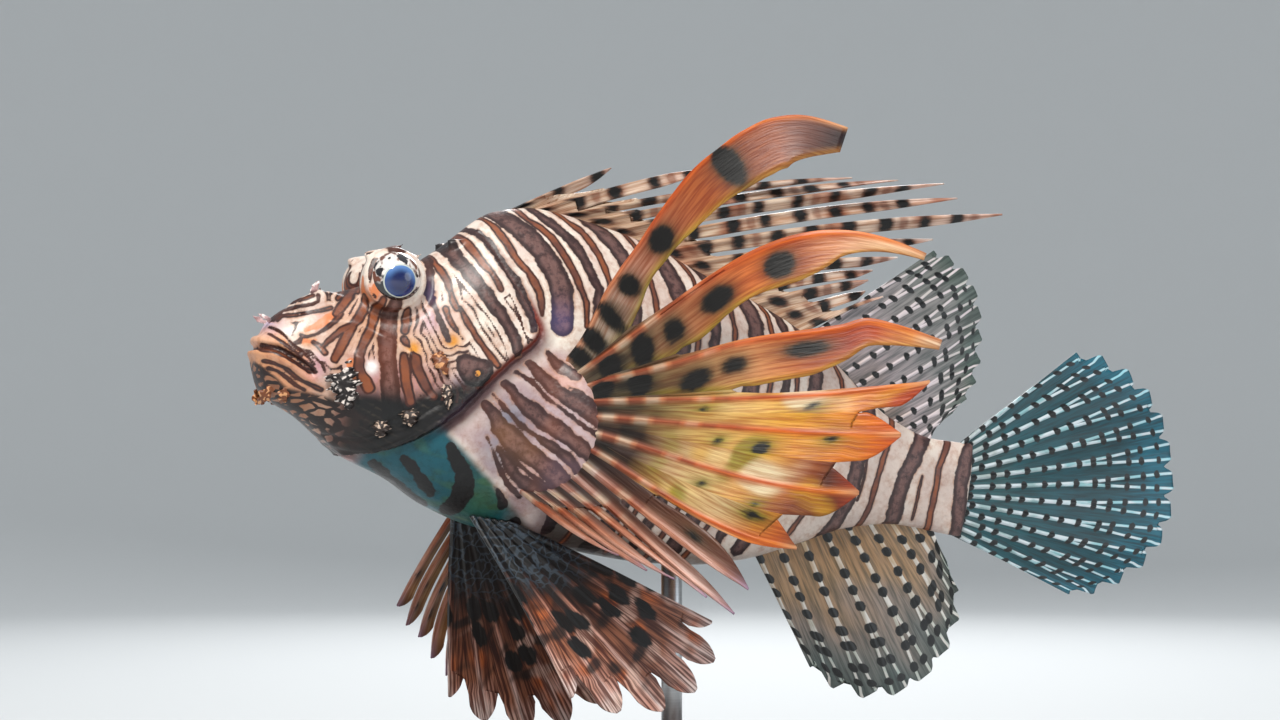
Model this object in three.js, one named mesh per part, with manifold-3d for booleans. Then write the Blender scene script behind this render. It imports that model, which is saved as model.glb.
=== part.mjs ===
// A red lionfish at life size, as a still display model on a stand, in millimetres.
// +Z is up. The snout points to -X, the tail to +X, and the fish's left side faces -Y.
// The origin is the middle of the stand's underside.
// The fish is drawn level in its own frame, with the snout tip at x 0, and one group tilts it nose up.
import * as THREE from "three";
import { mergeVertices } from "three/addons/utils/BufferGeometryUtils.js";
import Module from "manifold-3d";

const wasm = await Module();
wasm.setup();

// Driving sizes of the fish, in its own frame
const BODY_LENGTH = 257;
const REACH_TO_TAIL = 340;
const PITCH_DEG = 9.15;
const SNOUT_X = -130;
const SNOUT_HEIGHT = 148;
const GAP = 0.3;
const SWAY = 9;
const SWAY_FROM = 120;
const LEFT = -1;
const RIGHT = 1;
const DEG = Math.PI / 180;

// Outlines of the body from snout to tail, as [x, value]
const BACK = [[0, 4], [2, 12], [8, 18.5], [16, 23.5], [26, 27.5], [42, 36.5], [52, 45], [70, 62], [86, 66],
  [115, 63.5], [146, 55.5], [184, 43.5], [204, 31.5], [222, 20], [240, 15.5], [257, 16.5]];
const BELLY = [[0, -2], [4, -10], [16, -15.5], [32, -25], [48, -30], [62, -36.5], [78, -40.5], [110, -43.2],
  [132, -43.8], [153, -42.3], [174, -37.6], [194, -29], [213, -20.5], [233, -16.6], [257, -17.5]];
const FLANK = [[0, 6], [3, 10], [12, 13.5], [30, 17], [48, 21], [72, 25], [100, 25], [130, 22], [165, 16.5],
  [200, 10], [230, 6], [257, 2.6]];
const WAIST = [[0, 1], [12, 2], [30, 0], [48, -1], [72, 1], [100, 4], [150, 3], [200, 2], [257, -0.5]];
const CROWN_FULLNESS = [[0, 2.2], [40, 2], [70, 1.8], [130, 1.8], [257, 2]];
const KEEL_FULLNESS = 2.1;

// Lines on the head, as [x, z]
const MOUTH_LINE = [[-3, 3.4], [1, 4.3], [5, 3.9], [9, 2.3], [13, 0.4], [18, -3]];
const JAW_REAR = [[22, -9], [25, -18], [32, -34], [-20, -40], [-20, 3.4]];
const GILL_LINE = [[56, 72], [60, 58], [72, 41], [83, 27], [84, 21], [76, 12], [67.5, 1], [61.5, -7.2],
  [52.5, -16.3], [41.7, -22.6], [36, -40]];
const TAIL_CUT_X = 184;

// Eyes, a little flatter from side to side than they are high
const EYE = { x: 37.5, y: 14.2, z: 32.2, radius: 8.6, flat: 0.92 };

// Lips above and below the mouth line
const UPPER_LIP = { offset: 1.7, radius: 1.5 };
const LOWER_LIP = { offset: -2.1, radius: 1.6 };
const LIP_SUNK = 0.3;

// Lumps of the head: place, radii along, across and through, and either y or how far sunk in the skin
const LUMPS = [
  { x: EYE.x, z: EYE.z - 1, y: EYE.y - 3.2, lie: [1, 0, 0.25], radii: [10.4, 9.6, 10.4], sides: 11 },
  { x: 17, z: 19.5, y: 6.2, lie: [1, 0, 0.4], radii: [9, 3.2, 5.2], sides: 8 },
  { x: 24, z: 0.5, sunk: 1.5, lie: [1, 0, -0.75], radii: [9.5, 2.6, 4.2], sides: 8 },
  { x: 9, z: 16, sunk: -0.2, lie: [0.5, 0, 1], radii: [2.2, 1.4, 1.4], sides: 6 },
];

// Thorns of the head, each as [x, z, length, radius]: brow, nape, snout, gill cover, cheek and cheekbone
const THORNS = [
  { y: EYE.y - 2, lean: [0.8, 0.2, 0.6], at: [[29.5, 39, 4, 1.7], [36, 41.5, 4.5, 1.8], [43, 40, 4, 1.7]] },
  { y: 7.5, lean: [0.9, 0.2, 0.4], at: [[57, 48, 5, 2], [66, 54, 5, 2]] },
  { y: 5.4, lean: [0.1, 0.2, 1], at: [[16, 23.5, 3.5, 1.5]] },
  { sunk: 1, lean: [0.85, 0.5, -0.2], at: [[54, 3, 4.2, 1.9], [52, -4, 4.2, 1.9], [47, -9, 4.2, 1.9]] },
  { sunk: 1, lean: [0.8, 0.6, 0], at: [[28, 16.5, 3, 2.1], [37, 12.3, 3, 2.1], [46, 8.1, 3, 2.1]] },
  { sunk: 0.6, lean: [0.95, 0.45, -0.35], at: [[31, 4.4, 5.5, 2]] },
];
const THORN_ROOT = 3;

// Skin flaps that hang from the face
const FLAP_SUNK = 0.8;
const HEAD_FLAPS = [
  { x: 25.5, z: -1.5, hang: [0.45, 0.5, -0.9], size: 11 },
  { x: 40, z: -15, hang: [0.2, 0.55, -0.8], size: 6 },
  { x: 47.5, z: -10.5, hang: [0.2, 0.6, -0.8], size: 6 },
  { x: 57.5, z: -1, hang: [0.1, 0.6, -0.8], size: 5.5 },
];
const JAW_FLAPS = [
  { x: 8, z: -11, hang: [-0.1, 0.5, -0.9], size: 5 },
  { x: 13, z: -13, hang: [0.1, 0.5, -0.9], size: 4.5 },
];

// Pectoral fins: a round palm on each flank with thirteen rays, from the top one down
const PALM = { x: 87.8, y: 18.2, z: -6.5, radius: 24, thick: 8.5, out: 36 };
const PALM_TOP_ANGLE = 71;
const PALM_SWEEP = -167;
const PALM_OVERLAP = 4;
const PECTORAL_RISE = [46, 25.5, 12.7, 9.9, 3.3, -5.4, -17, -26.8, -29.2, -26, -23, -22, -20];
const PECTORAL_LENGTH = [116, 116, 113, 107, 98, 88, 75.5, 69, 71.5, 64, 56, 52, 47];
const PECTORAL_BEND = [0.25, 0.15, 0.06, -0.03, -0.016, -0.04, -0.047, 0, 0, 0.01, -0.02, 0, -0.02];
const PECTORAL_HOOK = 1.6;

// The top three feathers: width of the membrane and rise of the ray, as [place along the ray, mm]
const FEATHER_WIDTH = [
  [[0, 5], [0.13, 6.5], [0.21, 9.5], [0.33, 10], [0.42, 11], [0.5, 13], [0.6, 15], [0.68, 16.2], [0.8, 17.5],
    [0.87, 17.5], [0.93, 15.5], [0.97, 12], [1, 8.5]],
  [[0, 6], [0.19, 12], [0.3, 15], [0.39, 14], [0.51, 12.6], [0.66, 14], [0.74, 12.5], [0.78, 10.5],
    [0.82, 7.5], [0.9, 4.6], [1, 2]],
  [[0, 5], [0.24, 7.5], [0.36, 10.8], [0.47, 14.4], [0.64, 13.8], [0.78, 9], [0.93, 5], [1, 3]],
];
const FEATHER_NUDGE = [
  [[0, 0], [0.13, -1], [0.21, -1], [0.28, -2.4], [0.4, -6], [0.55, -7.8], [0.68, -7.4], [0.78, -4.6],
    [0.87, -0.4], [0.95, 2.2], [1, 1.6]],
  [[0, 0], [0.13, 1], [0.5, 0.2], [1, 0.2]],
  [[0, 0], [0.1, 1.5], [0.3, 1.2], [0.45, 2.2], [0.64, 1.8], [0.74, 2.6], [0.82, 5], [0.88, 4.2], [1, 2.6]],
];
const PECTORAL_LOW_FLAG = [...FEATHER_WIDTH, 12, 12, 12, 2, 1, 1, 1, 1, 1, 1];
const PECTORAL_HIGH_FLAG = [1, 1.2, 1.2, 1.5, 12, 12, 12, 7, 3.6, 3.4, 3.2, 3, 2.8];
const PECTORAL_SHARE = [0.84, 0.84, 0.84, 0.5, 0.5, 0.5, 0.2, 0.25, 0.25, 0.25, 0.25, 0.25];
const PECTORAL_WEB = [0.22, 0.3, 0.45, 0.85, 0.87, 0.85, 0.4, 0.3, 0.26, 0.26, 0.26, 0.26];
const PECTORAL_ARCH = 0.05;
const PECTORAL_POSE = {
  [LEFT]: { liftTop: 0, liftBottom: 0, outTop: 34, outBottom: 60, leaf: 1 },
  [RIGHT]: { liftTop: -24, liftBottom: -42, outTop: 48, outBottom: 126, leaf: 2.4 },
};

// Pelvic fins: a spine and five rays on each side of the belly
const PELVIC = { x: 76, y: 11, z: -38, splay: 22, spacing: 2.4, cup: 0.04, web: 0.85 };
const PELVIC_FALL = [-58, -50, -42, -34, -26, -18];
const PELVIC_LENGTH = [66, 76, 83, 85, 83, 75];
const PELVIC_SWING = { [LEFT]: 0, [RIGHT]: -19 };

// Dorsal fin: thirteen tall spines with a flag of membrane behind each, then a soft fan
const SPINE_FROM_X = 69;
const SPINE_TO_X = 182;
const SPINE_LENGTH = [46, 70, 111, 124, 128, 129, 132, 100, 74, 58, 46, 38, 36];
const SPINE_RISE = [34, 25, 18.5, 19, 19, 18.5, 17, 16.8, 17, 19, 22, 26, 32];
const SPINE_FLAG = 3.6;
const SPINE_WEB = 20;
const SPINE_LEAN = 5;
const SPINE_SUNK = 3;
const SPINE_BOW = 0.02;
const LONGEST_SPINE = 130;

// Fans on the middle line: roots run along the body, and tips lie on an ellipse
const SOFT_DORSAL = {
  rays: 11, from: 185.5, to: 238, sink: 3, line: BACK,
  tips: { x: 229, z: 49, a: 26, b: 32, start: 84, end: -62 },
};
const ANAL = {
  rays: 9, from: 179, to: 243, sink: -3, line: BELLY,
  tips: { x: 227, z: -46, a: 33, b: 30, start: -128, end: 40 },
};
const CAUDAL = {
  rays: 13, x: 252, top: 15, bottom: -15.5,
  tips: { x: 297, z: 12.5, a: 47, b: 43.5, start: 92, end: -80 },
};
const FAN_WEB = 0.92;
const RIPPLE = 1.6;

// A flag this wide fills the room between two rays
const FULL_FLAG = 14;

// A flag widens from its root share by the widening, and narrows to its tip share from a place on the ray
const TAPER = { root: 0.4, widening: 2.4, from: 0.7, tip: 0.04 };

// Places along the rays where the fins' rows of points lie
const PECTORAL_STOPS = [0, 0.22, 0.3, 0.45, 0.64, 0.85, 1];
const PELVIC_STOPS = [0, 0.3, 0.6, 0.85, 1];
const SPINE_STOPS = [0, 0.15, 0.4, 0.75, 1];
const FAN_STOPS = [0, 0.48, 0.92, 1];

// Thickness of the fins at a ray, between rays and at the free edge
const RAY_THICK = 1.9;
const WEB_THICK = 0.8;
const EDGE_THICK = 0.55;
const RIDGE_HALF = 1.3;
const RIDGE_SHARE = 0.45;
const LEAST_LEAF = 0.4;
const OUTER_LEAF = 1.1;

// Stand
const BASE = { length: 190, width: 112, height: 12, corner: 26, bevel: 1.6 };
const ROD = { fishX: 150, radius: 3.5, inBelly: 8 };
const COLLAR = { radius: 8, topRadius: 6.4, height: 6 };

// Smooth height of a line of [x, value] knots, with no overshoot between them
function along(knots, x) {
  const last = knots.length - 1;
  if (x <= knots[0][0]) return knots[0][1];
  if (x >= knots[last][0]) return knots[last][1];
  const i = knots.findIndex((k) => k[0] > x) - 1;
  const slope = (j) => (knots[j + 1][1] - knots[j][1]) / (knots[j + 1][0] - knots[j][0]);
  const tangent = (j) => {
    if (j === 0) return slope(0);
    if (j === last) return slope(last - 1);
    const before = slope(j - 1);
    const after = slope(j);
    return before * after <= 0 ? 0 : (2 * before * after) / (before + after);
  };
  const span = knots[i + 1][0] - knots[i][0];
  const t = (x - knots[i][0]) / span;
  const rise = knots[i + 1][1] - knots[i][1];
  const bow = tangent(i) * span * t * (1 - t) ** 2 - tangent(i + 1) * span * t * t * (1 - t);
  return knots[i][1] + rise * t * t * (3 - 2 * t) + bow;
}

const lerp = THREE.MathUtils.lerp;
const V = (x, y, z) => new THREE.Vector3(x, y, z);

// The body bends a little to its right towards the tail
const sway = (x) => SWAY * (Math.max(0, x - SWAY_FROM) / (REACH_TO_TAIL - SWAY_FROM)) ** 2;

// Half the body's width at a height, grown outwards by a margin
function halfWidthAt(x, z, grow = 0) {
  const middle = along(WAIST, x);
  const up = z > middle;
  const height = (up ? along(BACK, x) - middle : middle - along(BELLY, x)) + grow;
  const fullness = up ? along(CROWN_FULLNESS, x) : KEEL_FULLNESS;
  const share = Math.min(1, Math.abs(z - middle) / height);
  return (along(FLANK, x) + grow) * (1 - share ** fullness) ** (1 / fullness);
}

// A point of the skin at an angle round the body
function skinPoint(x, angle, grow = 0) {
  const middle = along(WAIST, x);
  const up = Math.sin(angle) >= 0;
  const height = (up ? along(BACK, x) - middle : middle - along(BELLY, x)) + grow;
  const power = 2 / (up ? along(CROWN_FULLNESS, x) : KEEL_FULLNESS);
  const swell = (share) => Math.sign(share) * Math.abs(share) ** power;
  const y = (along(FLANK, x) + grow) * swell(Math.cos(angle));
  return V(x, y + sway(x), middle + height * swell(Math.sin(angle)));
}

// A place in the side view at a distance out, or sunk that far in the skin where no distance is given
function atSide({ x, z, y, sunk }, side) {
  return V(x, side * (y ?? halfWidthAt(x, z) - sunk), z);
}

// Closed three.js geometry as a solid, and back
function solid(geometry) {
  const plain = geometry.index ? geometry.toNonIndexed() : geometry.clone();
  for (const name of Object.keys(plain.attributes)) {
    if (name !== "position") plain.deleteAttribute(name);
  }
  const merged = mergeVertices(plain, 1e-4);
  return new wasm.Manifold(new wasm.Mesh({
    numProp: 3,
    vertProperties: merged.attributes.position.array,
    triVerts: new Uint32Array(merged.index.array),
  }));
}

function geometryOf(shape) {
  const { numProp, numVert, vertProperties, triVerts } = shape.getMesh();
  const position = new Float32Array(numVert * 3);
  for (let i = 0; i < numVert; i++) {
    position.set(vertProperties.subarray(i * numProp, i * numProp + 3), i * 3);
  }
  const geometry = new THREE.BufferGeometry();
  geometry.setAttribute("position", new THREE.BufferAttribute(position, 3));
  geometry.setIndex(new THREE.BufferAttribute(new Uint32Array(triVerts), 1));
  geometry.computeVertexNormals();
  return geometry;
}

const largest = (shape) => shape.decompose().sort((a, b) => b.volume() - a.volume())[0];
const join = (shapes) => shapes.reduce((whole, piece) => whole.add(piece));

// Closed list of triangles as a solid, turned so that its faces point outwards
function facesToSolid(points, faces) {
  let volume = 0;
  for (let i = 0; i < faces.length; i += 3) {
    const [a, b, c] = [points[faces[i]], points[faces[i + 1]], points[faces[i + 2]]];
    volume += a.dot(b.clone().cross(c));
  }
  const geometry = new THREE.BufferGeometry().setFromPoints(points);
  geometry.setIndex(volume < 0 ? [...faces].reverse() : faces);
  return solid(geometry);
}

// Body as rings from the snout to the tail, closed by a point at each end
const BODY_RINGS = 36;
const RING_POINTS = 24;

function bodyShape(grow = 0) {
  const points = [];
  const faces = [];
  for (let i = 0; i <= BODY_RINGS; i++) {
    const x = BODY_LENGTH * (i / BODY_RINGS) ** 1.35;
    for (let j = 0; j < RING_POINTS; j++) {
      points.push(skinPoint(x, (2 * Math.PI * j) / RING_POINTS, grow));
    }
  }
  const ring = (i, j) => i * RING_POINTS + (j % RING_POINTS);
  for (let i = 0; i < BODY_RINGS; i++) {
    for (let j = 0; j < RING_POINTS; j++) {
      faces.push(ring(i, j), ring(i + 1, j), ring(i, j + 1));
      faces.push(ring(i, j + 1), ring(i + 1, j), ring(i + 1, j + 1));
    }
  }
  const nose = points.push(V(-1 - grow, 0, 1)) - 1;
  const end = points.push(V(BODY_LENGTH + grow, sway(BODY_LENGTH), -0.5)) - 1;
  for (let j = 0; j < RING_POINTS; j++) {
    faces.push(nose, ring(0, j), ring(0, j + 1));
    faces.push(end, ring(BODY_RINGS, j + 1), ring(BODY_RINGS, j));
  }
  return facesToSolid(points, faces);
}

// A wall across the whole body under an outline drawn in the side view
function wall(outline, shiftX = 0, shiftZ = 0) {
  const shape = new THREE.Shape(outline.map(([x, z]) => new THREE.Vector2(x + shiftX, z + shiftZ)));
  const geometry = new THREE.ExtrudeGeometry(shape, { depth: 120, bevelEnabled: false, curveSegments: 1 });
  return solid(geometry.rotateX(Math.PI / 2).translate(0, 60, 0));
}

function smoothLine(knots, steps) {
  const curve = new THREE.SplineCurve(knots.map(([x, z]) => new THREE.Vector2(x, z)));
  return curve.getPoints(steps).map((p) => [p.x, p.y]);
}

// An ellipsoid with its long axis along a direction
function blob(centre, direction, long, wide, thick, sides = 8) {
  const geometry = new THREE.SphereGeometry(1, sides, Math.max(4, Math.round(sides * 0.7)));
  geometry.scale(long, wide, thick);
  const turn = new THREE.Quaternion().setFromUnitVectors(V(1, 0, 0), direction.clone().normalize());
  return solid(geometry.applyQuaternion(turn).translate(centre.x, centre.y, centre.z));
}

// A thorn that leans back along a direction, with its root sunk in the head
function thorn(root, direction, length, radius, sides = 4) {
  const way = direction.clone().normalize();
  const geometry = new THREE.ConeGeometry(radius, length + THORN_ROOT, sides);
  geometry.translate(0, (length - THORN_ROOT) / 2, 0);
  geometry.applyQuaternion(new THREE.Quaternion().setFromUnitVectors(V(0, 1, 0), way));
  return solid(geometry.translate(root.x, root.y, root.z));
}

// A round bead of skin along a path
function bead(path, radius, steps) {
  const section = new THREE.Shape();
  section.absarc(0, 0, radius, 0, 2 * Math.PI);
  const extrudePath = new THREE.CatmullRomCurve3(path);
  const settings = { steps, extrudePath, curveSegments: 3, bevelEnabled: false };
  return solid(new THREE.ExtrudeGeometry(section, settings));
}

// A lip, from one side of the mouth round the front of the snout to the other
function lip({ offset, radius }) {
  const oneSide = (side) => MOUTH_LINE.slice(1).map(([x, z]) => (
    atSide({ x, z: z + offset, sunk: LIP_SUNK }, side)
  ));
  const front = V(-0.2, 0, MOUTH_LINE[1][1] + offset);
  return bead([...oneSide(LEFT).reverse(), front, ...oneSide(RIGHT)], radius, 16);
}

// Fleshy flap with a fringe of three fingers, hanging from the skin
function flap(root, direction, size) {
  const way = direction.clone().normalize();
  const across = V(0, 0, 1).cross(way).length() > 0.2 ? V(0, 0, 1).cross(way).normalize() : V(1, 0, 0);
  const pieces = [blob(root.clone().addScaledVector(way, size * 0.35), way, size * 0.7, size * 0.34, 1, 5)];
  for (const spread of [-0.5, 0.5]) {
    const finger = way.clone().addScaledVector(across, spread).normalize();
    const base = root.clone().addScaledVector(way, size * 0.4).addScaledVector(across, spread * size * 0.2);
    pieces.push(thorn(base, finger, size * 0.5, size * 0.16, 3));
  }
  return join(pieces);
}

// A fin is a fan of leaves, one to each ray, drawn as a middle surface and then given its thickness.
// A leaf reaches from its ray to a low edge and a high edge. Two neighbours share their edge as far as the
// web goes, and part from there on, each with the width of its own flag of membrane.
function leafEdge(ray, next, share, flag, v) {
  const onRay = ray.curve(v);
  const reach = next ? next.curve(v).sub(onRay) : V(0, 0, 0);
  const step = 0.02;
  const way = ray.curve(Math.min(1, v + step)).sub(ray.curve(Math.max(0, v - step))).normalize();
  reach.addScaledVector(way, -reach.dot(way));
  const room = share * reach.length() - 2 * GAP;
  const narrowing = (1 - TAPER.tip) * Math.max(0, (v - TAPER.from) / (1 - TAPER.from)) ** 2;
  const taper = Math.min(1, TAPER.root + TAPER.widening * v) * (1 - narrowing);
  const width = Array.isArray(flag) ? along(flag, v) : flag * taper;
  return onRay.addScaledVector(reach.normalize(), Math.max(LEAST_LEAF, Math.min(room, width)));
}

function fan(rays, stops) {
  const middle = [];
  const thickness = [];
  const quads = [];
  const add = (point, thick) => {
    thickness.push(thick);
    return middle.push(point) - 1;
  };
  const edgeThick = (v) => lerp(WEB_THICK, EDGE_THICK, v);
  let before = null;
  rays.forEach((ray, i) => {
    const next = rays[i + 1];
    const previous = rays[i - 1];
    const outer = (other, v) => {
      const away = ray.curve(v).sub(other.curve(v)).normalize();
      return ray.curve(v).addScaledVector(away, Math.max(LEAST_LEAF, OUTER_LEAF * (1 - v)));
    };
    const low = stops.map((v) => {
      if (!next) return outer(previous, v);
      if (v <= ray.web) return ray.curve(v).lerp(next.curve(v), ray.share);
      return leafEdge(ray, next, ray.share, ray.low, v);
    });
    const high = stops.map((v) => {
      if (!previous) return outer(next, v);
      return leafEdge(ray, previous, 1 - previous.share, ray.high, v);
    });
    const beside = (edge, j) => {
      const way = edge[j].clone().sub(ray.curve(stops[j]));
      const distance = way.length();
      const ridge = Math.min(RIDGE_HALF, RIDGE_SHARE * distance);
      return ray.curve(stops[j]).addScaledVector(way, ridge / distance);
    };
    const highIds = stops.map((v, j) => (
      previous && v <= previous.web ? before[j] : add(high[j], edgeThick(v))
    ));
    const highAt = highIds.map((id) => middle[id]);
    const columns = [
      highIds,
      stops.map((v, j) => add(beside(highAt, j), edgeThick(v))),
      stops.map((v) => add(ray.curve(v), lerp(RAY_THICK, EDGE_THICK, v * v))),
      stops.map((v, j) => add(beside(low, j), edgeThick(v))),
      stops.map((v, j) => add(low[j], edgeThick(v))),
    ];
    before = columns[4];
    for (let c = 0; c < 4; c++) {
      for (let j = 0; j < stops.length - 1; j++) {
        quads.push([columns[c][j], columns[c + 1][j], columns[c + 1][j + 1], columns[c][j + 1]]);
      }
    }
  });
  return thicken(middle, thickness, quads);
}

// Both faces are split along the same diagonals, and a rim closes every open edge
function thicken(middle, thickness, quads) {
  const normals = middle.map(() => V(0, 0, 0));
  const used = new Set();
  for (const [a, b, c, d] of quads) {
    const facing = middle[c].clone().sub(middle[a]).cross(middle[d].clone().sub(middle[b]));
    for (const id of [a, b, c, d]) normals[id].add(facing);
    for (const [from, to] of [[a, b], [b, c], [c, d], [d, a]]) used.add(`${from} ${to}`);
  }
  const count = middle.length;
  const points = [];
  for (const side of [0.5, -0.5]) {
    middle.forEach((point, id) => {
      points.push(point.clone().addScaledVector(normals[id].clone().normalize(), side * thickness[id]));
    });
  }
  const faces = [];
  for (const [a, b, c, d] of quads) {
    faces.push(a, b, c, a, c, d);
    faces.push(a + count, c + count, b + count, a + count, d + count, c + count);
    for (const [from, to] of [[a, b], [b, c], [c, d], [d, a]]) {
      if (!used.has(`${to} ${from}`)) faces.push(to, from, from + count, to, from + count, to + count);
    }
  }
  return facesToSolid(points, faces);
}

const direction = (outDeg, riseDeg, side) => V(
  Math.cos(outDeg * DEG) * Math.cos(riseDeg * DEG),
  side * Math.sin(outDeg * DEG) * Math.cos(riseDeg * DEG),
  Math.sin(riseDeg * DEG),
);

// Pectoral fin on one side
function pectoralRays(side) {
  const { liftTop, liftBottom, outTop, outBottom, leaf } = PECTORAL_POSE[side];
  const count = PECTORAL_LENGTH.length;
  return PECTORAL_LENGTH.map((length, i) => {
    const share = i / (count - 1);
    const lift = lerp(liftTop, liftBottom, share);
    const spoke = (PALM_TOP_ANGLE + lift * 0.4 + PALM_SWEEP * share) * DEG;
    const inner = PALM.radius - PALM_OVERLAP;
    const root = V(PALM.x, side * PALM.y, PALM.z).add(V(
      inner * Math.cos(spoke) * Math.cos(PALM.out * DEG),
      side * inner * Math.cos(spoke) * Math.sin(PALM.out * DEG),
      inner * Math.sin(spoke),
    ));
    const out = lerp(outTop, outBottom, share ** 1.3);
    const rise = PECTORAL_RISE[i] + lift;
    const ahead = direction(out, rise, side);
    const above = direction(out, rise + 90, side);
    const outward = V(-Math.sin(out * DEG), side * Math.cos(out * DEG), 0);
    const curve = (v) => {
      const late = v ** PECTORAL_HOOK;
      const hump = 4 * late * (1 - late) * length;
      const nudge = i < FEATHER_NUDGE.length ? along(FEATHER_NUDGE[i], v) : 0;
      return root.clone()
        .addScaledVector(ahead, v * (length + PALM_OVERLAP))
        .addScaledVector(above, hump * PECTORAL_BEND[i] + nudge)
        .addScaledVector(outward, hump * PECTORAL_ARCH);
    };
    return {
      curve, low: PECTORAL_LOW_FLAG[i], high: PECTORAL_HIGH_FLAG[i] * leaf,
      web: PECTORAL_WEB[i], share: PECTORAL_SHARE[i],
    };
  });
}

// Palm of the pectoral fin: a thick disc that stands out from the flank
function palmShape(side, grow = 0) {
  const profile = [];
  const steps = 8;
  for (let i = 0; i <= steps; i++) {
    const angle = -Math.PI / 2 + (Math.PI * i) / steps;
    const height = Math.sin(angle) * (PALM.thick / 2 + grow);
    profile.push(new THREE.Vector2(Math.cos(angle) ** 0.8 * (PALM.radius + grow), height));
  }
  profile[0].x = 0;
  profile[steps].x = 0;
  const geometry = new THREE.LatheGeometry(profile, 22);
  const normal = V(-Math.sin(PALM.out * DEG), side * Math.cos(PALM.out * DEG), 0);
  geometry.applyQuaternion(new THREE.Quaternion().setFromUnitVectors(V(0, 1, 0), normal));
  return solid(geometry.translate(PALM.x, side * PALM.y, PALM.z));
}

// Pelvic fin on one side
function pelvicRays(side) {
  return PELVIC_LENGTH.map((length, i) => {
    const root = V(PELVIC.x + i * PELVIC.spacing, side * PELVIC.y, PELVIC.z);
    const fall = (PELVIC_FALL[i] + PELVIC_SWING[side]) * DEG;
    const splay = PELVIC.splay * DEG;
    const down = Math.sin(fall);
    const ahead = V(Math.cos(fall), -side * down * Math.sin(splay), down * Math.cos(splay));
    const curve = (v) => {
      const cup = 4 * v * (1 - v) * length * PELVIC.cup;
      return root.clone().addScaledVector(ahead, v * length).add(V(0, side * cup, 0));
    };
    return { curve, low: FULL_FLAG, high: FULL_FLAG, web: PELVIC.web, share: 0.5 };
  });
}

// Dorsal spines
function spineRays() {
  const last = SPINE_LENGTH.length - 1;
  return SPINE_LENGTH.map((length, i) => {
    const x = lerp(SPINE_FROM_X, SPINE_TO_X, i / last);
    const root = V(x, sway(x), along(BACK, x) - SPINE_SUNK);
    const lean = SPINE_LEAN * (i % 2 ? 1 : -1) * (length / LONGEST_SPINE);
    const web = THREE.MathUtils.clamp(SPINE_WEB / length, 0.15, 0.5);
    const rise = SPINE_RISE[i] * DEG;
    const curve = (v) => {
      const reach = v * length;
      return root.clone().add(V(
        reach * Math.cos(rise),
        lean * v * v,
        reach * Math.sin(rise) + 4 * v * (1 - v) * length * SPINE_BOW,
      ));
    };
    return { curve, low: SPINE_FLAG, high: 1, web, share: 0.7 };
  });
}

// Straight rays of a fan on the middle line
function fanRays({ rays, from, to, sink, line, x, top, bottom, tips }) {
  return Array.from({ length: rays }, (_, i) => {
    const share = i / (rays - 1);
    const rootX = line ? lerp(from, to, share) : x;
    const rootZ = line ? along(line, rootX) - sink : lerp(top, bottom, share);
    const angle = lerp(tips.start, tips.end, share) * DEG;
    const tip = V(tips.x + tips.a * Math.cos(angle), 0, tips.z + tips.b * Math.sin(angle));
    const root = V(rootX, 0, rootZ);
    const curve = (v) => {
      const point = root.clone().lerp(tip, v);
      point.y = sway(point.x) + RIPPLE * v * Math.sin(i * 1.1 + 2 * v);
      return point;
    };
    return { curve, low: FULL_FLAG, high: FULL_FLAG, web: FAN_WEB, share: 0.5 };
  });
}

// Lumps, thorns, flaps and lips that stand out of the skin
const mirrored = ([x, y, z], side) => V(x, side * y, z);

function lumpOn(lump, side) {
  return blob(atSide(lump, side), mirrored(lump.lie, side), ...lump.radii, lump.sides);
}

function thornsOn({ at, lean, ...depth }, side) {
  return at.map(([x, z, length, radius]) => (
    thorn(atSide({ x, z, ...depth }, side), mirrored(lean, side), length, radius)
  ));
}

function flapOn({ hang, size, ...place }, side) {
  return flap(atSide({ ...place, sunk: FLAP_SUNK }, side), mirrored(hang, side), size);
}

const headForms = [lip(UPPER_LIP)];
const jawForms = [lip(LOWER_LIP)];
for (const side of [LEFT, RIGHT]) {
  headForms.push(...LUMPS.map((lump) => lumpOn(lump, side)));
  headForms.push(...THORNS.flatMap((group) => thornsOn(group, side)));
  headForms.push(...HEAD_FLAPS.map((one) => flapOn(one, side)));
  jawForms.push(...JAW_FLAPS.map((one) => flapOn(one, side)));
}

// The solids, each cut clear of what it grows from
const body = bodyShape();
const grownBody = bodyShape(GAP);
const jawLine = [...smoothLine(MOUTH_LINE, 10), ...JAW_REAR];
const gillLine = [...smoothLine(GILL_LINE, 18), [-40, -60], [-40, 90]];
const jawWall = wall(jawLine);
const jawRoom = wall(jawLine, 0.35, 0.5);
const headWall = wall(gillLine);
const headRoom = wall(gillLine, 0.5, 0);
const behind = (x) => wall([[x, -90], [400, -90], [400, 90], [x, 90]]);

const eyes = {};
const eyeRooms = [];
for (const side of [LEFT, RIGHT]) {
  const centre = V(EYE.x, side * EYE.y, EYE.z);
  const ahead = V(1, 0, 0);
  eyes[side] = blob(centre, ahead, EYE.radius, EYE.radius * EYE.flat, EYE.radius, 14);
  const room = EYE.radius + 1.5 * GAP;
  eyeRooms.push(blob(centre, ahead, room, room * (EYE.flat + 0.01), room, 14));
}

const jaw = largest(join([body, ...jawForms]).intersect(jawWall));
const wholeHead = join([body, ...headForms]).intersect(headWall);
const head = largest(wholeHead.subtract(jawRoom).subtract(join(eyeRooms)));
const afterHead = body.subtract(headRoom);
const trunk = largest(afterHead.subtract(behind(TAIL_CUT_X - GAP)));
const tail = largest(afterHead.intersect(behind(TAIL_CUT_X)));

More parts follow.
